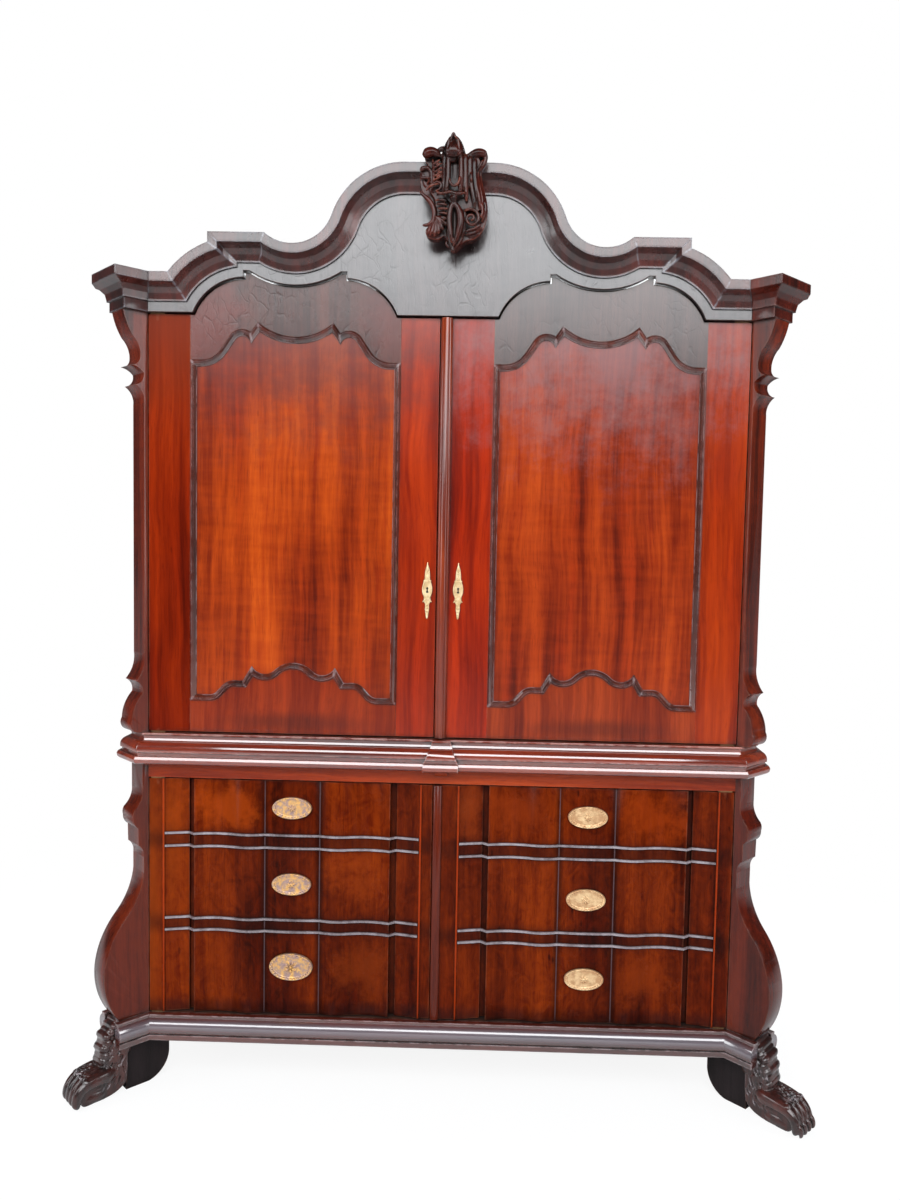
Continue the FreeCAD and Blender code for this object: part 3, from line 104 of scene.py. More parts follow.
class Graph:
    """Short hand for filling a node tree."""

    def __init__(self, tree: bpy.types.NodeTree) -> None:
        """Keep the tree that is to be filled."""
        self.tree = tree

    def node(self, kind: str, inputs: dict | None = None, **settings: object) -> bpy.types.Node:
        """Add a node.

        Args:
            kind: the node's type without its "ShaderNode" prefix.
            inputs: values or sockets for its inputs, by name or number.
            settings: properties of the node.

        Returns:
            The node.
        """
        made = self.tree.nodes.new("ShaderNode" + kind)
        for name, value in settings.items():
            setattr(made, name, value)
        self.fill(made, inputs or {})
        return made

    def fill(self, made: bpy.types.Node, inputs: dict) -> None:
        """Give a node's inputs their values, or link them to sockets.

        Args:
            made: the node.
            inputs: values or sockets by the input's name or number.
        """
        for name, value in inputs.items():
            if isinstance(value, bpy.types.NodeSocket):
                self.tree.links.new(value, made.inputs[name])
            else:
                made.inputs[name].default_value = value

    def maths(self, operation: str, first: object, second: object, clamp: bool) -> bpy.types.NodeSocket:
        """Result of a Math node on two values or sockets."""
        return self.node("Math", {0: first, 1: second}, operation=operation, use_clamp=clamp).outputs[0]

    def plus(self, first: object, second: object, clamp: bool = False) -> bpy.types.NodeSocket:
        """Sum of two values or sockets."""
        return self.maths("ADD", first, second, clamp)

    def minus(self, first: object, second: object) -> bpy.types.NodeSocket:
        """Difference of two values or sockets."""
        return self.maths("SUBTRACT", first, second, False)

    def times(self, first: object, second: object, clamp: bool = False) -> bpy.types.NodeSocket:
        """Product of two values or sockets."""
        return self.maths("MULTIPLY", first, second, clamp)

    def mix(self, share: object, first: object, second: object) -> bpy.types.NodeSocket:
        """Result of mixing two colours."""
        return self.node("Mix", {"Factor": share, 6: first, 7: second}, data_type="RGBA").outputs[2]

    def ramp(self, value: object, low: float, high: float, to_low: float = 0.0, to_high: float = 1.0
             ) -> bpy.types.NodeSocket:
        """Value mapped smoothly from one range to another."""
        made = self.node("MapRange", {"Value": value, "From Min": low, "From Max": high, "To Min": to_low,
                                      "To Max": to_high}, interpolation_type="SMOOTHSTEP")
        return made.outputs["Result"]

    def vector(self, operation: str, first: object, second: object) -> bpy.types.NodeSocket:
        """Result of a Vector Math node on two vectors."""
        return self.node("VectorMath", {0: first, 1: second}, operation=operation).outputs[0]

    def length(self, vector: object) -> bpy.types.NodeSocket:
        """Length of a vector."""
        return self.node("VectorMath", {0: vector}, operation="LENGTH").outputs["Value"]

    def noise(self, vector: object, scale: float, detail: float = 3.0, rough: float = 0.55,
              distort: float = 0.0) -> bpy.types.NodeSocket:
        """Value of a noise texture."""
        made = self.node("TexNoise", {"Vector": vector, "Scale": scale, "Detail": detail, "Roughness": rough,
                                      "Distortion": distort})
        return made.outputs["Fac"]


def blank(block: bpy.types.Material | bpy.types.World) -> Graph:
    """Switch on the nodes of a material or a world, empty them and give their graph."""
    block.use_nodes = True
    block.node_tree.nodes.clear()
    return Graph(block.node_tree)


def new_group(name: str, inputs: dict[str, str], outputs: dict[str, str]
              ) -> tuple[Graph, bpy.types.bpy_prop_collection, bpy.types.Node]:
    """Empty shader group with named sockets.

    Args:
        name: the group's name.
        inputs: socket type by name.
        outputs: socket type by name.

    Returns:
        Its graph, the sockets that it takes in, and the node that takes its results.
    """
    tree = bpy.data.node_groups.new(name, "ShaderNodeTree")
    for way, sockets in (("INPUT", inputs), ("OUTPUT", outputs)):
        for socket, kind in sockets.items():
            tree.interface.new_socket(socket, in_out=way, socket_type="NodeSocket" + kind)
    return Graph(tree), tree.nodes.new("NodeGroupInput").outputs, tree.nodes.new("NodeGroupOutput")


class Effects:
    """Shader groups shared by the finishes."""

    def __init__(self) -> None:
        """Build every group once."""
        self.figure = self._figure()
        self.age = self._age()
        self.patch = self._patch()
        self.crackle = self._crackle()

    @staticmethod
    def _figure() -> bpy.types.NodeTree:
        """Wood figure: clouds, streaks, flecks and pores along the grain, which is the vector's Z."""
        g, s, sink = new_group(
            "WoodFigure", {"Vector": "Vector", "Dark": "Color", "Middle": "Color", "Light": "Color",
                           "Streaks": "Float", "Clouds": "Float", "Curl": "Float", "Flecks": "Float",
                           "Burr": "Float"}, {"Color": "Color", "Height": "Float"})
        sway = g.noise(s["Vector"], 2.2, 2.0)
        bend = g.node("CombineXYZ", {"X": g.times(sway, 0.05), "Y": g.times(sway, 0.03)})
        bent = g.vector("ADD", s["Vector"], bend.outputs[0])
        slow = g.vector("MULTIPLY", bent, CLOUD_GRAIN)
        fine = g.vector("MULTIPLY", bent, STREAK_GRAIN)
        cloud = g.ramp(g.noise(slow, 7.0, 4.0, 0.6), 0.32, 0.68)
        streak = g.ramp(g.noise(fine, 95.0, 4.0, 0.65), 0.3, 0.7)
        band = g.ramp(g.noise(fine, 26.0, 2.0, 0.5), 0.35, 0.65)
        pores = g.ramp(g.noise(fine, 620.0, 2.0, 0.5), 0.56, 0.7)
        ripple = g.noise(g.vector("MULTIPLY", bent, RIPPLE_GRAIN), 22.0, 2.0)
        curl = g.times(g.minus(ripple, 0.5), s["Curl"])
        blister = g.noise(g.vector("MULTIPLY", bent, BLISTER_GRAIN), 34.0, 5.0, 0.6, 1.6)
        burr = g.times(g.minus(blister, 0.5), s["Burr"])
        wavy = g.plus(g.minus(streak, 0.5), g.minus(band, 0.5))
        share = g.plus(g.times(wavy, s["Streaks"]), g.plus(curl, burr))
        share = g.plus(share, 0.5, clamp=True)
        base = g.mix(share, s["Dark"], s["Middle"])
        lit = g.mix(share, s["Middle"], s["Light"])
        clouded = g.mix(g.times(cloud, s["Clouds"]), base, lit)
        spots = g.node("TexVoronoi", {"Vector": g.vector("MULTIPLY", bent, FLECK_GRAIN), "Scale": 38.0})
        fleck = g.times(g.ramp(spots.outputs["Distance"], 0.16, 0.05),
                        g.ramp(g.noise(bent, 5.0, 2.0), 0.5, 0.62))
        marked = g.mix(g.times(fleck, s["Flecks"]), clouded, s["Dark"])
        shown = g.mix(g.times(pores, PORE_SHARE), marked, s["Dark"])
        g.fill(sink, {"Color": shown, "Height": g.minus(g.times(streak, STREAK_HEIGHT), pores)})
        return g.tree

    @staticmethod
    def _age() -> bpy.types.NodeTree:
        """Old polish: dirt and painted shade in recesses, and edges paler from rubbing and painted
        highlight.
        """
        g, s, sink = new_group(
            "PaintedLightAndAge", {"Vector": "Vector", "Color": "Color", "Dirt And Shade": "Color", "Dirt And Shade Reach": "Float",
                            "Dirt And Shade Amount": "Float", "Highlight And Rub Tone": "Color", "Highlight And Rub Reach": "Float",
                            "Highlight And Rub Amount": "Float"}, {"Color": "Color", "Recess": "Float"})
        # Painted shade: where ambient occlusion finds the surface enclosed, the colour goes towards the dark
        # recess colour.
        inner = g.node("AmbientOcclusion", {"Distance": s["Dirt And Shade Reach"]}, samples=RAYS)
        # Painted highlight together with rubbing: edges that stand out go towards the paler edge colour.
        outer = g.node("AmbientOcclusion", {"Distance": s["Highlight And Rub Reach"]}, samples=RAYS, inside=True)
        patch = g.noise(s["Vector"], 38.0, 4.0, 0.6)
        open_air = g.plus(inner.outputs["AO"], g.times(patch, 0.25))
        recess = g.times(g.ramp(open_air, 1.0, 0.45), s["Dirt And Shade Amount"], clamp=True)
        # This edge mask is rubbing and painted highlight together.
        rubbed = g.times(g.ramp(outer.outputs["AO"], 0.95, 0.55), g.ramp(patch, 0.38, 0.6))
        edge = g.times(rubbed, s["Highlight And Rub Amount"], clamp=True)
        shaded_and_dirty = g.mix(recess, s["Color"], s["Dirt And Shade"])
        g.fill(sink, {"Color": g.mix(edge, shaded_and_dirty, s["Highlight And Rub Tone"]), "Recess": recess})
        return g.tree

    @staticmethod
    def _patch() -> bpy.types.NodeTree:
        """Soft oval patch with a ragged edge, 1 in the middle and 0 outside."""
        g, s, sink = new_group(
            "SoftPatch", {"Vector": "Vector", "Centre": "Vector", "Reach": "Vector", "Ragged": "Float"},
            {"Mask": "Float"})
        away = g.vector("SUBTRACT", s["Vector"], s["Centre"])
        distance = g.length(g.vector("DIVIDE", away, s["Reach"]))
        cloth = g.minus(g.noise(s["Vector"], 13.0, 7.0, 0.7), 0.5)
        ragged = g.plus(distance, g.times(cloth, s["Ragged"]))
        g.fill(sink, {"Mask": g.ramp(ragged, 1.0, 0.15)})
        return g.tree

    @staticmethod
    def _crackle() -> bpy.types.NodeTree:
        """Fine feathered cracks in old varnish."""
        g, s, sink = new_group(
            "Crackle", {"Vector": "Vector", "Scale": "Float", "Amount": "Float"}, {"Mask": "Float"})
        stirred = g.node("TexNoise", {"Vector": s["Vector"], "Scale": 11.0, "Detail": 3.0})
        moved = g.vector("SUBTRACT", stirred.outputs["Color"], (0.5, 0.5, 0.5))
        place = g.vector("ADD", s["Vector"], g.vector("MULTIPLY", moved, CRACK_DRIFT))
        along = g.vector("MULTIPLY", place, CRACK_GRAIN)
        cells = g.node("TexVoronoi", {"Vector": along, "Scale": s["Scale"]}, feature="DISTANCE_TO_EDGE")
        lines = g.ramp(cells.outputs["Distance"], 0.055, 0.012)
        where = g.ramp(g.noise(s["Vector"], 6.5, 3.0), 0.44, 0.6)
        g.fill(sink, {"Mask": g.times(g.times(lines, where), s["Amount"], clamp=True)})
        return g.tree


# ---------------------------------------------------------------- finishes
class Grain(Enum):
    """Direction of the grain as a rotation that turns it onto Z."""

    UPRIGHT = (0.0, 0.0, 0.0)
    ACROSS = (0.0, math.pi / 2, 0.0)


@dataclass(frozen=True)
class Patch:
    """Place where the finish shows another tone."""

    centre: tuple[float, float, float]
    reach: tuple[float, float, float]
    colour: str
    strength: float = 0.8
    cover: float = 0.75
    ragged: float = 0.5


@dataclass(frozen=True)
class WoodFinish:
    """Polished wood."""

    name: str
    dark: str
    middle: str
    light: str
    grain: Grain = Grain.UPRIGHT
    streaks: float = 0.55
    clouds: float = 0.6
    curl: float = 0.0
    flecks: float = 0.35
    burr: float = 0.0
    roughness: float = 0.3
    specular: float = 0.5
    coat: float = 0.6
    coat_roughness: float = 0.16
    coat_ior: float = 1.5
    # Dirt and painted shade in the recesses: amount and reach.
    dirt_and_shade: float = 0.8
    dirt_and_shade_reach: float = 0.02
    # Rubbing and painted highlight on the edges: amount and colour.
    highlight_and_rub: float = 0.25
    highlight_and_rub_tone: str = "8a5a44"
    bump: float = 0.1
    cracks: float = 0.0
    crack_scale: float = 20.0
    arris: float = 0.0
    patches: tuple[Patch, ...] = ()
    shift: tuple[float, float, float] = (0.0, 0.0, 0.0)

    def build(self, effects: Effects) -> bpy.types.Material:
        """Make the material.

        Args:
            effects: the shared groups.

        Returns:
            The material.
        """
        made = bpy.data.materials.new(self.name)
        g = blank(made)
        place = g.node("TexCoord").outputs["Object"]
        along = g.node("Mapping", {"Vector": place, "Location": self.shift, "Rotation": self.grain.value})
        figure = g.node("Group", {
            "Vector": along.outputs[0], "Dark": tone(self.dark), "Middle": tone(self.middle),
            "Light": tone(self.light), "Streaks": self.streaks, "Clouds": self.clouds, "Curl": self.curl,
            "Flecks": self.flecks, "Burr": self.burr}, node_tree=effects.figure)
        colour = figure.outputs["Color"]
        for patch in self.patches:
            spot = g.node("Group", {"Vector": place, "Centre": patch.centre, "Reach": patch.reach,
                                    "Ragged": patch.ragged}, node_tree=effects.patch)
            tinted = g.mix(patch.cover, colour, tone(patch.colour))
            colour = g.mix(g.times(spot.outputs["Mask"], patch.strength), colour, tinted)
        height = g.plus(figure.outputs["Height"], g.times(g.noise(place, 17.0, 4.0), WAVE_HEIGHT))
        if self.cracks > 0:
            crackle = g.node("Group", {"Vector": place, "Scale": self.crack_scale, "Amount": self.cracks},
                             node_tree=effects.crackle)
            colour = g.mix(crackle.outputs["Mask"], colour, tone(self.dark))
            height = g.minus(height, g.times(crackle.outputs["Mask"], CRACK_DEPTH))
        # Dirt and painted shade darken the recesses; rubbing and painted highlight make the edges paler.
        age = g.node("Group", {
            "Vector": place, "Color": colour, "Dirt And Shade": WOOD_DIRT_AND_SHADE, "Dirt And Shade Reach": self.dirt_and_shade_reach,
            "Dirt And Shade Amount": self.dirt_and_shade, "Highlight And Rub Tone": tone(self.highlight_and_rub_tone), "Highlight And Rub Reach": WOOD_HIGHLIGHT_AND_RUB_REACH,
            "Highlight And Rub Amount": self.highlight_and_rub}, node_tree=effects.age)
        haze = g.minus(g.noise(place, 11.0, 5.0, 0.65), 0.5)
        rough = g.plus(g.times(haze, HAZE), self.roughness)
        rough = g.plus(rough, g.times(age.outputs["Recess"], RECESS_ROUGHNESS), clamp=True)
        bump = g.node("Bump", {"Height": height, "Strength": self.bump, "Distance": WOOD_RELIEF})
        if self.arris > 0:
            eased = g.node("Bevel", {"Radius": self.arris}, samples=RAYS)
            g.fill(bump, {"Normal": eased.outputs[0]})
        shader = g.node("BsdfPrincipled", {
            "Base Color": age.outputs["Color"], "Roughness": rough, "Normal": bump.outputs[0],
            "Coat Weight": self.coat, "Coat Roughness": self.coat_roughness, "Coat IOR": self.coat_ior,
            "Specular IOR Level": self.specular})
        g.node("OutputMaterial", {"Surface": shader.outputs[0]})
        return made


@dataclass(frozen=True)
class MetalFinish:
    """Cast brass or wrought iron."""

    name: str
    bright: str
    dull: str
    dirt: str
    roughness: float = 0.3
    metallic: float = 0.75
    grain_size: float = 900.0
    bump: float = 0.3
    stain_size: float = 60.0

    def build(self, effects: Effects) -> bpy.types.Material:
        """Make the material.

        Args:
            effects: the shared groups.

        Returns:
            The material.
        """
        made = bpy.data.materials.new(self.name)
        g = blank(made)
        place = g.node("TexCoord").outputs["Object"]
        stain = g.ramp(g.noise(place, self.stain_size, 4.0), 0.35, 0.65)
        speckle = g.noise(place, self.grain_size, 2.0)
        # Dirt darkens the hollows; rubbing and painted highlight make the edges paler.
        age = g.node("Group", {
            "Vector": place, "Color": g.mix(stain, tone(self.dull), tone(self.bright)),
            "Dirt And Shade": tone(self.dirt), "Dirt And Shade Reach": METAL_GRIME_REACH, "Dirt And Shade Amount": 1.0,
            "Highlight And Rub Tone": tone(self.bright), "Highlight And Rub Reach": METAL_HIGHLIGHT_AND_RUB_REACH, "Highlight And Rub Amount": METAL_HIGHLIGHT_AND_RUB},
            node_tree=effects.age)
        rough = g.plus(g.times(speckle, SPECKLE_ROUGHNESS), self.roughness, clamp=True)
        bump = g.node("Bump", {"Height": speckle, "Strength": self.bump, "Distance": METAL_RELIEF})
        shader = g.node("BsdfPrincipled", {"Base Color": age.outputs["Color"], "Roughness": rough,
                                           "Normal": bump.outputs[0], "Metallic": self.metallic})
        g.node("OutputMaterial", {"Surface": shader.outputs[0]})
        return made


# ---------------------------------------------------------------- studio
# Soft boxes: name, middle, the point that it faces, width and height, power.
LAMPS = (
    ("high_box", (0.0, -5.2, 4.4), (0.0, 0.0, 1.6), (7.0, 3.0), 400.0),
    ("left_box", (-4.2, -2.4, 2.4), (0.0, 0.0, 1.0), (1.6, 3.0), 70.0),
    ("right_box", (4.2, -2.4, 2.4), (0.0, 0.0, 1.0), (1.6, 3.0), 55.0),
    ("back_box", (0.0, 4.2, 3.2), (0.0, 0.0, 1.2), (4.0, 2.5), 120.0),
)
DAYLIGHT = (0.95, 0.975, 1.0)
WHITE = (1.0, 1.0, 1.0, 1.0)


@dataclass
class Studio:
    """Floor, light and camera."""

    focal_px: float = 944.0
    centre_px: tuple[float, float] = (483.0, 604.0)
    frame_px: tuple[int, int] = (900, 1200)
    eye: tuple[float, float, float] = (0.143, -2.273 + DOOR_PLANE, 1.365)
    yaw: float = -1.18
    pitch: float = -3.53
    roll: float = 1.15
    floor_size: float = 60.0
    shadow_shape: tuple[float, float, float] = (0.55, 1.0, 1.0)
    shadow_from: float = 0.35
    shadow_to: float = 1.7
    room: float = 0.3
    mirrored_room: float = 0.06

    def camera(self) -> None:
        """Stand the camera in front of the doors, a little right of the middle."""
        yaw, pitch, roll = (math.radians(angle) for angle in (self.yaw, self.pitch, self.roll))
        right = Vector((math.cos(yaw), -math.sin(yaw), 0.0))
        ahead = Vector((math.sin(yaw) * math.cos(pitch), math.cos(yaw) * math.cos(pitch), math.sin(pitch)))
        above = right.cross(ahead)
        across = right * math.cos(roll) + above * math.sin(roll)
        upwards = above * math.cos(roll) - right * math.sin(roll)
        data = bpy.data.cameras.new("view")
        long_side = max(self.frame_px)
        data.lens = self.focal_px * data.sensor_width / long_side
        data.shift_x = (self.frame_px[0] / 2 - self.centre_px[0]) / long_side
        data.shift_y = (self.centre_px[1] - self.frame_px[1] / 2) / long_side
        made = bpy.data.objects.new("view", data)
        bpy.context.scene.collection.objects.link(made)
        turn = Matrix((across, upwards, -ahead)).transposed()
        made.matrix_world = Matrix.Translation(self.eye) @ turn.to_4x4()
        bpy.context.scene.camera = made

    def floor(self) -> None:
        """Pale floor that the eye sees as the white of the background, with a faint shadow."""
        bpy.ops.object.select_all(action="DESELECT")
        bpy.ops.mesh.primitive_plane_add(size=self.floor_size, location=(0.0, 0.0, 0.0))
        plane = bpy.context.active_object
        plane.name = "floor"
        coat = bpy.data.materials.new("floor_paint")
        g = blank(coat)
        matt = g.node("BsdfDiffuse", {"Color": (0.7, 0.7, 0.7, 1.0)})
        place = g.node("TexCoord").outputs["Object"]
        away = g.length(g.vector("MULTIPLY", place, self.shadow_shape))
        share = g.ramp(away, self.shadow_from, self.shadow_to, 0.8, 1.0)
        glow = g.ramp(away, self.shadow_from, self.shadow_to, 1.1, 1.0)
        white = g.node("Emission", {"Color": WHITE, "Strength": glow})
        seen = g.times(g.node("LightPath").outputs["Is Camera Ray"], share)
        mixed = g.node("MixShader", {0: seen, 1: matt.outputs[0], 2: white.outputs[0]})
        g.node("OutputMaterial", {"Surface": mixed.outputs[0]})
        plane.data.materials.append(coat)

    def world(self) -> None:
        """White to the eye, dark to reflections, and an even dim light on the object."""
        sky = bpy.data.worlds.new("studio")
        g = blank(sky)
        path = g.node("LightPath")
        dim = g.node("Background", {"Color": (0.92, 0.96, 1.0, 1.0), "Strength": self.room})
        dark = g.node("Background", {"Color": (0.9, 0.95, 1.0, 1.0), "Strength": self.mirrored_room})
        white = g.node("Background", {"Color": WHITE, "Strength": 1.0})
        room = g.node("MixShader", {0: path.outputs["Is Glossy Ray"], 1: dim.outputs[0], 2: dark.outputs[0]})
        mixed = g.node("MixShader", {0: path.outputs["Is Camera Ray"], 1: room.outputs[0],
                                     2: white.outputs[0]})
        g.node("OutputWorld", {"Surface": mixed.outputs[0]})
        bpy.context.scene.world = sky

    def lamp(self, name: str, place: tuple[float, float, float], aim: tuple[float, float, float],
             size: tuple[float, float], watts: float) -> None:
        """Soft box.

        Args:
            name: the lamp's name.
            place: its middle.
            aim: the point that it faces.
            size: its width and height.
            watts: its power.
        """
        data = bpy.data.lights.new(name, "AREA")
        data.shape = "RECTANGLE"
        data.size, data.size_y = size
        data.energy = watts
        data.color = DAYLIGHT
        made = bpy.data.objects.new(name, data)
        bpy.context.scene.collection.objects.link(made)
        made.location = place
        made.rotation_mode = "QUATERNION"
        made.rotation_quaternion = (Vector(aim) - Vector(place)).to_track_quat("-Z", "Y")

    def build(self) -> None:
        """Set up the whole studio."""
        self.camera()
        self.floor()
        self.world()
        for row in LAMPS:
            self.lamp(*row)
        bpy.context.scene.view_settings.view_transform = "Standard"


# ---------------------------------------------------------------- carving
Stroke = tuple[tuple[float, float, float, float], ...]
END_STEP = 0.6
END_TAPER = 0.35
STROKE_STEPS = 6
BOARD_STEPS = 5
ORDER = 3
RUB = 0.5


def rounded(line: Stroke) -> Stroke:
    """Stroke with a small round end past each of its ends.

    Args:
        line: a run of (x, y, z, radius).

    Returns:
        The longer run.
    """
    ends = []
    for near, far in ((line[0], line[1]), (line[-1], line[-2])):
        away = (Vector(near[:3]) - Vector(far[:3])).normalized() * near[3] * END_STEP
        ends.append((*(Vector(near[:3]) + away), near[3] * END_TAPER))
    return (ends[0], *line, ends[1])


@dataclass
class Carving:
    """Relief built from rounded strokes and boards in millimetres, which then becomes one skin."""

    name: str
    grain_mm: float = 2.0
    smooth: int = 2

    def __post_init__(self) -> None:
        """Start with no parts."""
        self.parts: list[bpy.types.Object] = []

    def _blank(self, kind: str) -> bpy.types.Curve:
        """Curve object without splines, added to the parts.

        Args:
            kind: "3D" for strokes, "2D" for boards.

        Returns:
            The curve.
        """
        bpy.ops.object.select_all(action="DESELECT")
        bpy.ops.curve.primitive_bezier_curve_add(location=(0.0, 0.0, 0.0))
        made = bpy.context.active_object
        made.name = f"{self.name}_part"
        made.data.splines.clear()
        made.data.dimensions = kind
        self.parts.append(made)
        return made.data

    def strokes(self, lines: list[Stroke] | tuple[Stroke, ...], sides: int = 3) -> None:
        """Add tapered round strokes.

        Args:
            lines: each a run of (x, y, z, radius).
            sides: fineness of the strokes' sections.
        """
        curve = self._blank("3D")
        curve.bevel_depth = 1.0
        curve.bevel_resolution = sides
        curve.use_fill_caps = True
        curve.resolution_u = STROKE_STEPS
        for line in lines:
            spline = curve.splines.new("NURBS")
            line = rounded(line)
            spline.points.add(len(line) - 1)
            for point, (x, y, z, radius) in zip(spline.points, line):
                point.co = (x, y, z, 1.0)
                point.radius = radius
            spline.order_u = min(ORDER, len(line))
            spline.use_endpoint_u = True

    def board(self, outline: tuple[tuple[float, float], ...], front: float, back: float, turn: Matrix
              ) -> None:
        """Add a board with the outline, smooth between its points.

        Args:
            outline: its corners in its own plane.
            front: height of its front over the plane.
            back: height of its back.
            turn: where its plane lies.
        """
        curve = self._blank("2D")
        curve.fill_mode = "BOTH"
        curve.extrude = (front - back) / 2
        curve.resolution_u = BOARD_STEPS
        spline = curve.splines.new("NURBS")
        spline.points.add(len(outline) - 1)
        for point, (x, y) in zip(spline.points, outline):
            point.co = (x, y, 0.0, 1.0)
        spline.order_u = ORDER
        spline.use_cyclic_u = True
        self.parts[-1].matrix_world = turn @ Matrix.Translation((0.0, 0.0, (front + back) / 2))

    def skin(self, place: Matrix, material: bpy.types.Material) -> bpy.types.Object:
        """Fuse the parts into one closed skin, scale it to metres and put it in its place.

        Args:
            place: where the carving's own origin and axes go, in metres.
            material: its finish.

        Returns:
            The piece.
        """
        bpy.ops.object.select_all(action="DESELECT")
        for part in self.parts:
            part.select_set(True)
        bpy.context.view_layer.objects.active = self.parts[0]
        bpy.ops.object.convert(target="MESH")
        bpy.ops.object.transform_apply(location=True, rotation=True, scale=True)
        if len(self.parts) > 1:
            bpy.ops.object.join()
        made = bpy.context.active_object
        made.name = self.name
        made.data.name = self.name
        remesh = made.modifiers.new("fused", "REMESH")
        remesh.mode = "VOXEL"
        remesh.voxel_size = self.grain_mm
        remesh.use_smooth_shade = True
        bpy.ops.object.modifier_apply(modifier=remesh.name)
        if self.smooth:
            softer = made.modifiers.new("rubbed", "SMOOTH")
            softer.iterations = self.smooth
            softer.factor = RUB
            bpy.ops.object.modifier_apply(modifier=softer.name)
        made.matrix_world = place @ Matrix.Scale(MM, 4)
        bpy.ops.object.transform_apply(location=True, rotation=True, scale=True)
        made.data.materials.clear()
        made.data.materials.append(material)
        return made


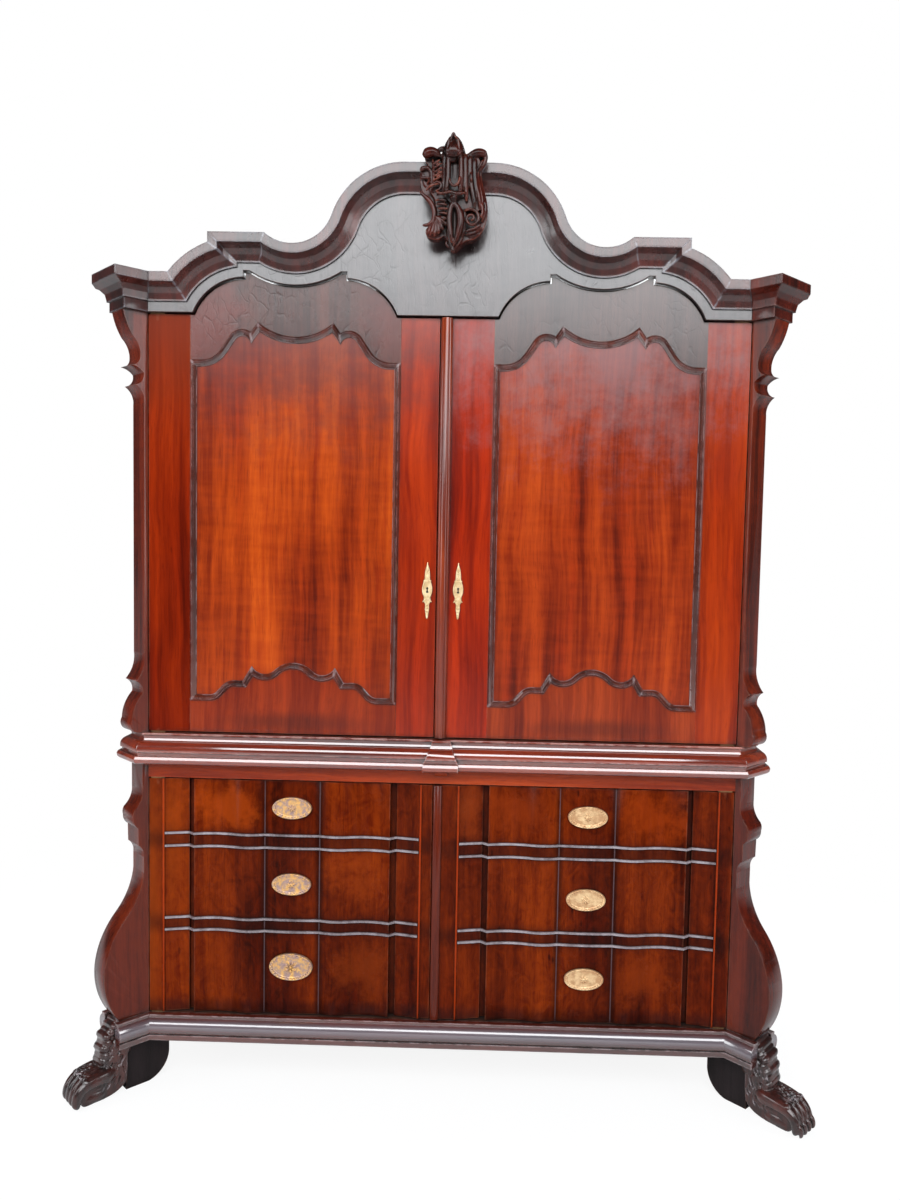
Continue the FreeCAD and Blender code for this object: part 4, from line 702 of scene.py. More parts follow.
# Strokes of the crest: depth in front of the doors, then points (x, height, radius).
CREST_STROKES = (
    (-80, ((11.9, 2288.5, 3.7), (11.9, 2280, 12.5), (11.5, 2266.4, 18.5), (11.1, 2251.2, 22.5),
        (11.1, 2242.4, 21))),
    (-101, ((4.6, 2269.7, 2.2), (8, 2280.6, 2.2), (11.1, 2287, 2.2), (14.1, 2280.6, 2.2),
        (18.4, 2274.1, 2))),
    (-99, ((-3.2, 2246.8, 2.6), (-1.5, 2262.1, 2.6), (3.3, 2277.4, 2.2))),
    (-99, ((24.9, 2246.8, 2.6), (24, 2262.1, 2.6), (19.5, 2277.4, 2.2))),
    (-97, ((-4.3, 2242, 3), (3.3, 2238.9, 3), (14.1, 2237.6, 3), (22.7, 2240.7, 3), (28.2, 2244.6, 2.6))),
    (-80, ((-52.6, 2246.8, 9.6), (-43.3, 2252, 10), (-33.1, 2252, 8.7), (-24.9, 2246.8, 6.5),
        (-17.3, 2242, 3))),
    (-78, ((-24.9, 2255.5, 3.9), (-18.4, 2259.5, 4.8), (-10.2, 2261.2, 4.8))),
    (-80, ((34.6, 2245.7, 3), (42.7, 2243.5, 3.9), (53.1, 2247.7, 6.5), (65.2, 2251.6, 8.7),
        (78, 2250.7, 7.8), (83.4, 2246.8, 5.2))),
    (-78, ((84.7, 2246.8, 4.3), (82.9, 2233.7, 4.3), (76.9, 2222.8, 4.3), (69.3, 2214.5, 3.5))),
    (-88, ((76.9, 2231.5, 2.2), (71.5, 2220.6, 2.6), (65, 2210.8, 2.6))),
    (-72, ((-61.7, 2216.2, 5.7), (-54.1, 2220.6, 4.3), (-45.5, 2219.5, 3), (-39, 2209.7, 2.8),
        (-39.6, 2196.6, 2.8), (-46.5, 2187.8, 2.8))),
    (-76, ((-62.8, 2196.1, 3), (-53, 2196.6, 2.8), (-43.9, 2196.1, 2.4))),
    (-62, ((-60.6, 2209.7, 7.4), (-57.4, 2200.9, 7.4), (-55.2, 2187.8, 7.4), (-50.9, 2176.9, 6.5))),
    (-88, ((-48.7, 2164.7, 2.4), (-37.9, 2176.9, 3.5), (-24.9, 2183.9, 3.9), (-15.1, 2179.1, 3.5),
        (-16.7, 2168.2, 2.8), (-27.1, 2163.4, 2.4))),
    (-96, ((-43.3, 2168.2, 1.7), (-31.4, 2174.8, 2.2), (-21, 2175.8, 1.7))),
    (-84, ((-10.2, 2242.4, 4.8), (-8, 2209.7, 5.2), (-9.3, 2183.5, 5.2), (-11.5, 2161.7, 3.5))),
    (-90, ((-0.6, 2240.2, 4.8), (0.2, 2205.3, 5.2), (-1.5, 2176.9, 5.2), (-3.2, 2159.5, 3.5))),
    (-92, ((28.8, 2240.2, 4.8), (29.7, 2205.3, 5.7), (28.8, 2179.1, 5.7), (27.1, 2157.3, 3.9))),
    (-88, ((38.8, 2241.1, 4.8), (39.6, 2205.3, 5.2), (40.1, 2174.8, 5.2), (42.2, 2144.2, 3.9))),
    (-84, ((49.2, 2240.2, 4.8), (49.2, 2209.7, 5.2), (52, 2179.1, 5.2), (59.5, 2148.6, 4.8),
        (60.4, 2128.9, 2.6))),
    (-80, ((59.5, 2235.9, 4.3), (59.1, 2209.7, 4.8), (62.8, 2179.1, 4.8), (70.8, 2152.9, 4.3),
        (72.5, 2131.1, 2.6))),
    (-72, ((66.5, 2205.3, 3.5), (69.9, 2183.5, 3.9), (77.3, 2161.7, 3.9), (82.3, 2142, 3))),
    (-70, ((14.9, 2235.9, 9.6), (14.9, 2209.7, 9.6), (14.9, 2183.5, 8.7))),
    (-100, ((4.1, 2187.8, 1.7), (5, 2179.1, 2.4), (9.3, 2173, 2.8), (15.4, 2170.8, 3), (21.4, 2173.9, 2.6),
        (25.3, 2180.4, 2), (26.2, 2190, 1.5))),
    (-96, ((-24.9, 2159, 2), (-18.4, 2154.7, 2.8), (-5, 2156.4, 3), (5.4, 2160.3, 3), (14.9, 2155.1, 4.8),
        (24.9, 2154.7, 3.5), (38.3, 2157.7, 2.4))),
    (-92, ((11.9, 2150.7, 7.4), (15.4, 2142.9, 8.3))),
    (-90, ((11.9, 2135.9, 4.8), (6.7, 2126.7, 4.8), (3.7, 2109.3, 5.2), (4.6, 2089.6, 5.2),
        (7.6, 2070, 4.8), (10.6, 2050.3, 3))),
    (-90, ((14.1, 2136.3, 4.8), (23.6, 2127.6, 5.2), (29.7, 2111.4, 7.4), (30.5, 2091.8, 7.4),
        (26.2, 2072.2, 6.1), (19.3, 2052.5, 3.9), (14.9, 2043.3, 2.6))),
    (-76, ((15.4, 2122.4, 3.5), (16.2, 2100.5, 4.8), (16.2, 2078.7, 5.2), (14.9, 2056.9, 3.9))),
    (-78, ((37.9, 2126.7, 3.5), (39.2, 2104.9, 3.9), (37.9, 2083.1, 3.5), (32.7, 2067.8, 2.6))),
    (-84, ((-26.6, 2144.2, 2.2), (-15.1, 2145.9, 2.8), (-3.2, 2143.8, 2.4))),
    (-84, ((-23.8, 2135.5, 2.2), (-13, 2136.5, 2.8), (-2.4, 2135, 2.4))),
    (-84, ((-21.4, 2125.9, 2.2), (-11.9, 2126.7, 2.8), (-1.5, 2125.9, 2.4))),
    (-82, ((-20.1, 2116.7, 2.2), (-10.8, 2117.1, 2.8), (-1.1, 2115.8, 2.4))),
    (-78, ((-63.9, 2164.7, 2.6), (-53, 2154.7, 3.9), (-41.8, 2145.1, 4.8), (-33.1, 2131.1, 4.8),
        (-30.1, 2115.8, 4.3), (-33.1, 2100.5, 3.9), (-43.3, 2091.4, 3.5), (-55.2, 2090.5, 3))),
    (-76, ((-26.6, 2107.5, 3), (-37.9, 2089.6, 3), (-46.5, 2072.2, 3.3))),
    (-80, ((-26.6, 2107.5, 3), (-33.1, 2087.4, 3), (-38.3, 2068.7, 3.7))),
    (-82, ((-26.6, 2107.5, 3), (-27.1, 2087.4, 3), (-28.8, 2067.8, 3.9))),
    (-84, ((-26.6, 2107.5, 3), (-21, 2089.6, 3), (-19.3, 2072.6, 3.7))),
    (-86, ((-26.6, 2107.5, 3), (-16.2, 2094, 3), (-10.6, 2080, 3.5))),
    (-86, ((-26.6, 2107.5, 3), (-12.8, 2100.5, 2.8), (-3.7, 2090.5, 3.3))),
    (-84, ((-26.6, 2107.5, 2.6), (-11.9, 2107.1, 2.8), (-1.1, 2102.7, 3))),
    (-74, ((11.5, 2043.3, 3), (13.2, 2035, 5.7))),
    (-72, ((-2.4, 2057.7, 2.2), (-2.8, 2051.2, 2.8), (3.3, 2043.3, 2.6))),
    (-72, ((31.4, 2065.6, 2.6), (28.8, 2056.4, 3.3), (22.7, 2046, 2.6))),
    (-86, ((40.9, 2121.9, 2.8), (50.9, 2125.9, 3), (64.3, 2121.9, 3.3), (71.2, 2110.1, 3.5),
        (69.1, 2096.6, 3.3), (57.4, 2089.2, 3), (45.7, 2094, 2.8), (42.2, 2104.9, 2.6), (48.7, 2112.8, 2.6),
        (58.2, 2111.4, 2.8), (60.4, 2104, 3), (54.8, 2100.5, 3))),
    (-74, ((83.4, 2146.4, 2.6), (86, 2131.1, 3), (83.4, 2115.8, 3), (77.3, 2102.7, 2.6))),
    (-80, ((76.9, 2139.8, 2.4), (79.5, 2124.5, 2.8), (76.4, 2109.3, 2.8))),
    (-80, ((41.8, 2077.4, 2.6), (50.9, 2081.3, 2.8), (64.3, 2084.4, 2.8), (75.6, 2093.1, 2.6))),
    (-74, ((41.4, 2072.6, 2.2), (53.1, 2074.3, 2.8), (66, 2078.7, 2.8), (76.4, 2088.3, 2.6))),
    (-68, ((48.7, 2068.7, 2), (59.5, 2070, 2.6), (69.3, 2076.1, 2.4))),
    (-66, ((69.9, 2196.6, 3.9), (73, 2176.9, 4.3), (79.5, 2157.3, 4.3), (84.7, 2139.8, 3))),
    (-92, ((52, 2200.9, 2.8), (52.2, 2194.4, 2.8), (53.1, 2186.8, 3))),
    (-84, ((-35.9, 2223.2, 1.7), (-28.1, 2227.1, 2.6), (-19.9, 2233.7, 2))),
    (-84, ((-34.4, 2214.9, 1.7), (-26.6, 2218.8, 2.6), (-18.4, 2225.4, 2))),
    (-84, ((-32.7, 2206.2, 1.7), (-24.9, 2210.1, 2.6), (-16.7, 2216.7, 2))),
    (-84, ((-31.4, 2197.9, 1.7), (-23.6, 2201.8, 2.6), (-15.4, 2208.4, 2))),
    (-84, ((-29.7, 2190, 1.7), (-21.9, 2194, 2.6), (-13.6, 2200.5, 2))),
    (-80, ((-35.7, 2233.7, 3), (-34, 2218.4, 3), (-33.1, 2203.1, 3), (-33.1, 2187.8, 3))),
)
# Boards behind the strokes: how far they stand in front of the doors, then the outline.
CREST_BOARDS = (
    (69, (
        (13, 2034), (26, 2044), (38, 2060), (62, 2062), (82, 2082), (92, 2120), (88, 2154), (76, 2190),
        (74, 2222), (88, 2246), (64, 2256), (40, 2244), (34, 2270), (12, 2298), (-10, 2270), (-18, 2246),
        (-58, 2260), (-54, 2232), (-44, 2228), (-64, 2220), (-66, 2180), (-54, 2158), (-36, 2140),
        (-25, 2115), (-34, 2098), (-54, 2084), (-46, 2064), (-20, 2060), (-6, 2074), (2, 2048),
    )),
    (80, (
        (-16, 2248), (14, 2254), (46, 2248), (76, 2240), (66, 2200), (82, 2150), (78, 2126), (60, 2120),
        (20, 2128), (-16, 2158), (-12, 2200),
    )),
    (79, (
        (12, 2146), (36, 2130), (42, 2096), (36, 2062), (18, 2036), (8, 2038), (0, 2066), (-4, 2096),
        (0, 2128),
    )),
    (75, (
        (-38, 2236), (-14, 2242), (-10, 2160), (-2, 2100), (-22, 2066), (-50, 2068), (-30, 2110),
        (-28, 2150), (-46, 2168), (-36, 2200),
    )),
)


@dataclass
class Crest:
    """Carved crest on the middle of the cornice."""

    back: float = 46.0
    swell: float = 1.22

    def build(self, material: bpy.types.Material) -> None:
        """Carve the hood, the rolls, the scrolls, the shell and the hanging tongue.

        Args:
            material: its finish.
        """
        carving = Carving("crest_carving", grain_mm=1.4, smooth=1)
        for front, outline in CREST_BOARDS:
            carving.board(outline, front, self.back, STAND_UP)
        runs = [tuple((x, depth, z, radius * self.swell) for x, z, radius in points)
                for depth, points in CREST_STROKES]
        carving.strokes(runs)
        made = carving.skin(Matrix.Translation((0.0, DOOR_PLANE, 0.0)), material)
        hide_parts("crest")
        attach(made, "root")


# Rolls across a paw's ankle: how far out, height, radius. The first ones slant.
ROLLS = ((76, 182, 8), (86, 172, 9), (90, 158, 13), (101, 150, 11), (98, 134, 14), (106, 122, 13),
         (104, 104, 14), (108, 92, 14), (60, 160, 26), (60, 110, 26), (80, 130, 24), (84, 96, 24))
SLANTED_ROLLS = 8
ROLL_SLANT = 4
TOES = 4
TOE_SPREAD = 1.06


@dataclass
class PawFoot:
    """Carved paw foot on a canted corner; drawn with X outwards and Y across."""

    side: str
    reach: float = 200.0
    half_width: float = 31.0
    toe_pitch: float = 18.0
    claws: bool = True
    seed: int = 5
    instep_locks: int = 90
    ankle_locks: int = 60
    instep: float = 112.0
    corner: tuple[float, float] = (0.74, DOOR_PLANE + 0.022)
    cant: float = 45.0

    def _ankle(self) -> list[Stroke]:
        """Rolls across the ankle, one under the other; the first ones slant a little."""
        made = []
        for index, (reach, height, radius) in enumerate(ROLLS):
            slant = ROLL_SLANT if index < SLANTED_ROLLS else 0
            width = self.half_width - radius * 0.55
            made.append(((reach, -width, height - slant, radius), (reach, 0, height, radius),
                         (reach, width, height + slant, radius)))
        return made

    def _toes(self) -> list[Stroke]:
        """Four toes with knuckles, a pad behind them and claws."""
        made = []
        tip = self.reach
        for index in range(TOES):
            across = (index - (TOES - 1) / 2) * self.toe_pitch
            spread = across * TOE_SPREAD
            made.append(((96, across * 0.9, 62, 20), (124, across, 62, 18), (tip - 42, spread, 58, 15),
                         (tip - 22, spread, 44, 12.5), (tip - 14, spread, 22, 11),
                         (tip - 18, spread, 10, 9)))
            made.append(((tip - 46, spread - 2, 62, 13), (tip - 36, spread + 2, 58, 14)))
            if self.claws:
                made.append(((tip - 16, spread, 30, 9), (tip - 5, spread, 26, 7), (tip - 1, spread, 12, 5),
                             (tip - 5, spread, 5, 3)))
        made.append(((70, 0, 60, 30), (120, 0, 34, 30), (tip - 40, 0, 30, 26)))
        made += [((110, across, 18, 17), (tip - 34, across, 14, 14)) for across in (-16, 16)]
        return made

    def _fur(self) -> list[Stroke]:
        """Short carved locks on the instep and on both faces of the ankle."""
        chance = random.Random(self.seed)
        made = []
        for _ in range(self.instep_locks):
            reach = chance.uniform(self.instep, self.reach - 34)
            across = chance.uniform(-1, 1) * self.half_width * 0.85
            height = 80 - (reach - self.instep) * 0.06 - abs(across) * 0.12
            bow = chance.uniform(-3, 3)
            made.append(((reach - 8, across, height - 2, 0.9), (reach, across + bow, height + 1.6, 2.8),
                         (reach + 9, across + bow * 1.6, height - 2.5, 1.2)))
        for face in (-1, 1):
            for _ in range(self.ankle_locks):
                reach, height = chance.uniform(58, 112), chance.uniform(34, 118)
                across = face * (self.half_width - 1.5)
                made.append(((reach - 3, across, height + 9, 0.9), (reach, across + face * 1.2, height, 2.5),
                             (reach + 5, across, height - 9, 0.9)))
        return made

    def build(self, material: bpy.types.Material) -> None:
        """Carve the foot and stand it under its corner.

        Args:
            material: its finish.
        """
        carving = Carving(f"paw_carving_{self.side}", grain_mm=1.7, smooth=1)
        core = ((52, 128), (52, 40), (60, 20), (90, 4), (150, 1), (self.reach - 30, 2),
                (self.reach - 22, 30), (150, 60), (108, 76), (102, 100), (96, 128), (88, 160), (78, 187),
                (2, 187), (2, 128))
        carving.board(core, self.half_width - 4, 4 - self.half_width, STAND_UP)
        carving.strokes(self._ankle())
        carving.strokes(self._toes())
        carving.strokes(self._fur(), sides=1)
        sign = -1 if self.side == "left" else 1
        turn = Matrix.Rotation(math.radians(-90 + sign * self.cant), 4, "Z")
        corner = Matrix.Translation((sign * self.corner[0], self.corner[1], 0.0))
        made = carving.skin(corner @ turn, material)
        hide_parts(f"paw_foot_{self.side}")
        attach(made, "root")


# Keyhole, dark strokes of painted shade: where each stroke starts and ends in front of the plate, and its
# radius.
KEYHOLE = (((0, 5.5, 1.4), (0, 5.6, 3.7), 2.6), ((-1.0, -3.5, 1.4), (-1.0, -3.5, 3.6), 1.9),
           ((1.0, -3.5, 1.4), (1.0, -3.5, 3.6), 1.9), ((0, 3, 1.4), (0, 3, 3.6), 1.5),
           ((0, 0, 1.4), (0, 0, 3.6), 1.4))
# Right half of the plate's outline, and its beads: height and radius.
PLATE_HALF = ((0, 68.5), (2.2, 60), (5, 50), (6.6, 38), (6.4, 26), (8.5, 22), (12.5, 8), (12, -6), (7, -18),
              (9.5, -26), (4, -32), (5.5, -44), (3, -56), (2.5, -66), (0, -68.5))
PLATE_BEADS = ((42, 1.5), (34, 1.5), (27, 1.3), (-34, 2.2), (-42, 2.3), (-50, 2.0), (-58, 1.7))


@dataclass
class KeyPlate:
    """Slender cast keyhole plate; drawn with X across and Y up from its middle."""

    side: str
    x: float
    middle: float = 1254.5

    def build(self, material: bpy.types.Material, dark: bpy.types.Material) -> None:
        """Cast the plate with its husk, shield, scrolls and beaded tail.

        Args:
            material: the brass.
            dark: the painted shade that fills the keyhole.
        """
        carving = Carving(f"key_plate_{self.side}", grain_mm=0.55, smooth=1)
        around = PLATE_HALF + tuple((-x, y) for x, y in reversed(PLATE_HALF[1:-1]))
        carving.board(around, 2.2, 0.2, Matrix.Identity(4))
        lines = [((0, 68, 1.8, 0.9), (0, 58, 2.4, 2.2), (0, 48, 2.6, 3.2))]
        for sign in (-1, 1):
            lines.append(((0, 50, 2.6, 1.2), (sign * 5, 38, 2.6, 1.5), (sign * 2, 26, 2.6, 1.3)))
            lines.append(((sign * 7, 22, 2.2, 1.6), (sign * 11, 8, 2.6, 1.8),
                          (sign * 10.5, -6, 2.6, 1.8), (sign * 4, -19, 2.4, 1.5)))
            lines.append(((sign * 2, -20, 2.4, 1.2), (sign * 7, -24, 2.4, 1.5), (sign * 10, -27, 2.2, 1.8)))
            lines.append(((sign * 8, 24, 2.4, 1.9), (sign * 6, 20, 2.4, 1.4)))
        for height, size in PLATE_BEADS:
            lines.append(((-size * 0.6, height, 2.4, size), (size * 0.6, height, 2.4, size)))
        lines.append(((-9, 22.5, 2.4, 1.3), (9, 22.5, 2.4, 1.3)))
        lines.append(((0, -62, 2.0, 1.6), (0, -68, 1.6, 0.8)))
        carving.strokes(lines)
        place = Matrix.Translation((self.x * MM, DOOR_PLANE, self.middle * MM)) @ STAND_UP
        made = carving.skin(place, material)
        body = f"upper_door_{self.side}"
        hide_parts(f"{body}_escutcheon")
        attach(made, body)
        # Painted shade: a dark solid stands for the shadowed hollow of the keyhole.
        hole = Carving(f"keyhole_{self.side}", grain_mm=0.4, smooth=0)
        hole.strokes([((*start, radius), (*end, radius)) for start, end, radius in KEYHOLE])
        shade = hole.skin(place, dark)
        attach(shade, body)


OVAL_STEPS = 32
OVAL_CORNERS = 24
# Rings of an oval plate: share of its size, height and radius; then the places of beads and speckles.
RINGS = ((0.955, 2.0, 1.8), (0.8, 1.7, 1.1))
BEAD_RING = 0.885
SPECKLED = (0.3, 0.74)
FIRST_PETAL = 0.2
FLOWER = 9.5
LARGE_FLOWER = 15.0


@dataclass
class OvalPlates:
    """Three oval plates on the middle of a lower door."""

    side: str
    heights: tuple[float, float, float]
    scales: tuple[tuple[float, float], ...] = ((1.0, 1.0), (1.0, 1.0), (1.0, 1.0))
    half_length: float = 49.0
    half_height: float = 26.5
    beads: int = 34
    petals: int = 7
    speckles: int = 70

    def _plate(self, wide: float, high: float, flower: float, seed: int
               ) -> tuple[list[Stroke], list[Stroke]]:
        """Rim, beads, flower and speckled field of one plate.

        Args:
            wide: half its length.
            high: half its height.
            flower: radius of its flower.
            seed: picks the speckles.

        Returns:
            The ring's strokes and the small ones.
        """
        chance = random.Random(seed)

        def spot(angle: float, share: float) -> tuple[float, float]:
            """Place on a smaller oval inside the plate's edge."""
            return wide * share * math.cos(angle), high * share * math.sin(angle)

        turns = [math.tau * step / OVAL_STEPS for step in range(OVAL_STEPS + 1)]
        rings = [tuple((*spot(angle, share), depth, radius) for angle in turns)
                 for share, depth, radius in RINGS]
        small = []
        for step in range(self.beads):
            x, y = spot(math.tau * step / self.beads, BEAD_RING)
            small.append(((x - 0.6, y, 2.6, 1.9), (x + 0.6, y, 2.6, 1.9)))
        for petal in range(self.petals):
            angle = math.tau * petal / self.petals + FIRST_PETAL
            x, y = flower * math.cos(angle), flower * math.sin(angle)
            small.append(((x * 0.35, y * 0.35, 3.0, 1.4), (x * 0.8, y * 0.8, 2.8, flower * 0.24),
                          (x, y, 1.8, 1.2)))
        small.append(((-1, 0, 3.4, flower * 0.22), (1, 0, 3.4, flower * 0.22)))
        for _ in range(self.speckles):
            angle, share = chance.uniform(0, math.tau), chance.uniform(*SPECKLED)
            x, y = spot(angle, share)
            if math.hypot(x, y) > flower * 1.15:
                small.append(((x, y, 1.7, 0.9), (x + 1.2, y + chance.uniform(-1, 1), 1.7, 0.8)))
        return rings, small

    def build(self, material: bpy.types.Material) -> None:
        """Cast the three plates as one piece.

        Args:
            material: the brass.
        """
        carving = Carving(f"oval_plates_{self.side}", grain_mm=0.85, smooth=1)
        sign = -1 if self.side == "left" else 1
        for index, (height, (longer, taller)) in enumerate(zip(self.heights, self.scales)):
            wide, high = self.half_length * longer, self.half_height * taller
            flower = FLOWER if longer == 1.0 else LARGE_FLOWER
            corners = [math.tau * step / OVAL_CORNERS for step in range(OVAL_CORNERS)]
            outline = tuple((wide * math.cos(a), high * math.sin(a)) for a in corners)
            move = Matrix.Translation((0.0, height - self.heights[1], 0.0))
            carving.board(outline, 1.6, -6.0, move)
            rings, small = self._plate(wide, high, flower, 10 * index + (sign > 0))
            for runs, sides in ((rings, 2), (small, 1)):
                carving.strokes(runs, sides)
                carving.parts[-1].matrix_world = move
        middle = Matrix.Translation((sign * LOWER_DOOR_MIDDLE, DOOR_PLANE, self.heights[1] * MM))
        made = carving.skin(middle @ STAND_UP, material)
        body = f"lower_door_{self.side}"
        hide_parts(f"{body}_plates")
        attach(made, body)


# ---------------------------------------------------------------- sub-assemblies
WELD = 0.00002
EDGE_ANGLE = 28.0
EDGE_STEPS = 2
DOOR_EDGE = 0.0009


def paint(node: bpy.types.Object, material: bpy.types.Material) -> None:
    """Give a node one material.

    Args:
        node: the object.
        material: what it gets.
    """
    if not node.data.materials:
        node.data.materials.append(material)
    for index in range(len(node.data.materials)):
        node.data.materials[index] = material


def soften(node: bpy.types.Object, width: float = 0.0012) -> None:
    """Break the sharp edges of a CAD node with modifiers, which leave its mesh as it is.

    Args:
        node: the object.
        width: width of the broken edge in metres.
    """
    weld = node.modifiers.new("weld", "WELD")
    weld.merge_threshold = WELD
    bevel = node.modifiers.new("broken_edges", "BEVEL")
    bevel.width = width
    bevel.segments = EDGE_STEPS
    bevel.limit_method = "ANGLE"
    bevel.angle_limit = math.radians(EDGE_ANGLE)
    bevel.harden_normals = True


ACROSS = {"grain": Grain.ACROSS}
BARE = {"coat": 0.0, "roughness": 0.6}
PALE = ("5a3a20", "8a6238", "a87c4a")
# Painted highlight: a pale grey-blue band of sheen painted along the slope of the base moulding.
SHEEN = Patch((0.0, 0.0, 0.166), (3.0, 3.0, 0.02), "84848e", strength=0.6, ragged=0.2, cover=0.8)
# Finishes of the case by the start of the node's name; the last two are for boards that nothing else names.
# The grey and pink-white edge tones below, on the cornice, waist and base, are rubbing and painted
# highlight.
CASE_WOODS = {
    "cornice_right": WoodFinish(
        "cornice_corner_wood", "240a06", "561a0e", "7c2e1c", coat=0.35, roughness=0.26, specular=0.3,
        highlight_and_rub=0.5, highlight_and_rub_tone="8c6a62", arris=0.007),
    "upper_console_right": WoodFinish(
        "right_console_wood", "2e0c06", "74240e", "963c1a", curl=0.3, coat=0.3, specular=0.3,
        roughness=0.24),
    "cornice": WoodFinish(
        "cornice_wood", "160907", "3e1814", "6a2c24", coat=0.9, roughness=0.28, coat_roughness=0.18,
        highlight_and_rub=0.6, highlight_and_rub_tone="8f8f98", cracks=0.2, arris=0.007),
    "frieze_board": WoodFinish(
        "tympanum_wood", "1a1211", "2e2324", "463634", curl=0.5, coat=1.0, specular=0.7, coat_roughness=0.2,
        cracks=0.16, bump=0.2, crack_scale=44.0),
    "frieze_rail": WoodFinish(
        "frieze_rail_wood", "5c1608", "a43610", "c4501c", coat=0.12, specular=0.2, roughness=0.22,
        cracks=0.1, **ACROSS),
    "waist": WoodFinish(
        "waist_wood", "481004", "822610", "a84420", coat=1.0, coat_ior=2.2, roughness=0.22, specular=0.2,
        coat_roughness=0.1, highlight_and_rub=0.6, highlight_and_rub_tone="e0c0b8", bump=0.05, arris=0.004, **ACROSS),
    "base_moulding": WoodFinish(
        "base_wood", "240a08", "4a1810", "6e2a1c", coat=1.0, coat_ior=2.1, roughness=0.24, specular=0.3,
        coat_roughness=0.12, highlight_and_rub=0.6, highlight_and_rub_tone="a89698", bump=0.06, arris=0.005, patches=(SHEEN,), **ACROSS),
    "lower_console": WoodFinish(
        "lower_console_wood", "260904", "5a1809", "7a2c10", burr=0.5, roughness=0.22, specular=0.22,
        coat=0.35),
    "upper_console": WoodFinish(
        "upper_console_wood", "2e0c07", "6c2212", "8c381c", curl=0.3, coat=0.35, specular=0.3,
        roughness=0.24),
    "upper_side": WoodFinish("upper_side_wood", "2a0b05", "66200d", "8c360f", shift=(3.0, 1.0, 0.0)),
    "lower_side": WoodFinish("lower_side_wood", "260a05", "5a1b0b", "7e2e0f", shift=(5.0, 2.0, 0.0)),
    "foot_block": WoodFinish("block_wood", "100a0a", "1c1415", "2a2022", specular=0.25, bump=0.3, **BARE),
    "rear_feet": WoodFinish("rear_foot_wood", "1a100c", "33201a", "4a3024", **BARE),
    "lower_bottom": WoodFinish(
        "threshold_wood", "1e0d07", "3c1c10", "5a3420", coat=0.0, roughness=0.5, **ACROSS),
    "upper_bottom": WoodFinish(
        "upper_threshold_wood", "2a1008", "52240f", "70401e", coat=0.0, roughness=0.5, **ACROSS),
    "carcass": WoodFinish("carcass_wood", *PALE, coat=0.0, roughness=0.62, highlight_and_rub=0.1),
    "board": WoodFinish("shelf_wood", *PALE, highlight_and_rub=0.1, **BARE, **ACROSS),
}


@dataclass
class Case:
    """Boards, mouldings, consoles and feet of the two cases."""

    nodes: dict[str, bpy.types.Object]
    effects: Effects
    soft: tuple[str, ...] = ("waist", "base_moulding", "lower_console", "upper_console", "foot_block",
                             "cornice_left", "cornice_right", "frieze_board", "frieze_rail", "rear_feet",
                             "upper_side", "lower_side")

    def dress(self) -> None:
        """Give every board and moulding its wood."""
        wood = {start: finish.build(self.effects) for start, finish in CASE_WOODS.items()}
        plain, board = wood.pop("carcass"), wood.pop("board")
        for name, node in self.nodes.items():
            if "door" in name:
                continue
            found = [material for start, material in wood.items() if name.startswith(start)]
            flat = "shelf" in name or name.endswith("top_board")
            paint(node, found[0] if found else board if flat else plain)
            if name.startswith(self.soft):
                soften(node)
        log.info("case dressed")

    def carve_crest(self) -> None:
        """Add the crest."""
        # Near-black dirt and painted shade fill the carving's hollows.
        wood = WoodFinish("crest_wood", "0a0403", "3c110a", "7c2614", coat=0.15, roughness=0.24, burr=0.9,
                          specular=0.25, dirt_and_shade=1.0, dirt_and_shade_reach=0.022, highlight_and_rub=0.7, highlight_and_rub_tone="8c4a38",
                          coat_roughness=0.14)
        Crest().build(wood.build(self.effects))
        log.info("crest carved")

    def carve_paws(self) -> None:
        """Add the two paws."""
        # Near-black dirt and painted shade in the hollows, and silvery edges that are rubbing and painted
        # highlight.
        wood = WoodFinish("paw_wood", "0e0807", "381813", "6e2a1e", coat=0.8, burr=1.0, dirt_and_shade=1.0,
                          dirt_and_shade_reach=0.012, highlight_and_rub=1.0, highlight_and_rub_tone="968c90", coat_roughness=0.18)
        material = wood.build(self.effects)
        for foot in (PawFoot("left", reach=194.0, claws=False), PawFoot("right", reach=206.0, seed=8)):
            foot.build(material)
            log.info("%s paw carved", foot.side)


# Lower doors by side: warm burr (x, z, half width, half height, colour, strength, raggedness), and the
# heights of the bands of painted shade along the cock beads.
BURRS = {
    -1: ((-0.53, 0.71, 0.13, 0.08, "983a0a", 0.9, 3.2), (-0.20, 0.57, 0.10, 0.09, "8a340a", 0.8, 3.0),
         (-0.66, 0.62, 0.05, 0.24, "923a08", 0.75, 1.8), (-0.71, 0.48, 0.03, 0.5, "8c3808", 0.8, 1.0),
         (-0.17, 0.30, 0.10, 0.11, "80300a", 0.8, 2.4)),
    1: ((0.53, 0.71, 0.11, 0.07, "8a3008", 0.9, 3.2), (0.19, 0.71, 0.09, 0.08, "7c2c0c", 0.8, 3.0),
        (0.51, 0.31, 0.10, 0.10, "843008", 0.85, 2.6), (0.07, 0.72, 0.05, 0.1, "843410", 0.8, 2.0)),
}
BEAD_SHADE_HEIGHTS = {-1: (0.627, 0.415), 1: (0.619, 0.402)}
# Painted light on the lower doors as upright lines, the wide ones first: painted shade beside the creases,
# a painted highlight along them and painted glints on the upright beads; places, half width, colour,
# strength.
CREASES = (0.295, 0.431)
CREASE_SHADE_HIGHLIGHT_AND_GLINTS = ((CREASES, 0.016, "1c0704", 0.85), (CREASES, 0.0022, "6c5c62", 0.55),
         ((0.046, 0.680), 0.0032, "b03c14", 0.75))
# How deep the lower doors' burr and painted light, and the fields of colour, reach behind and before the
# doors' plane.
SKIN = 0.04
THROUGH = 3.0


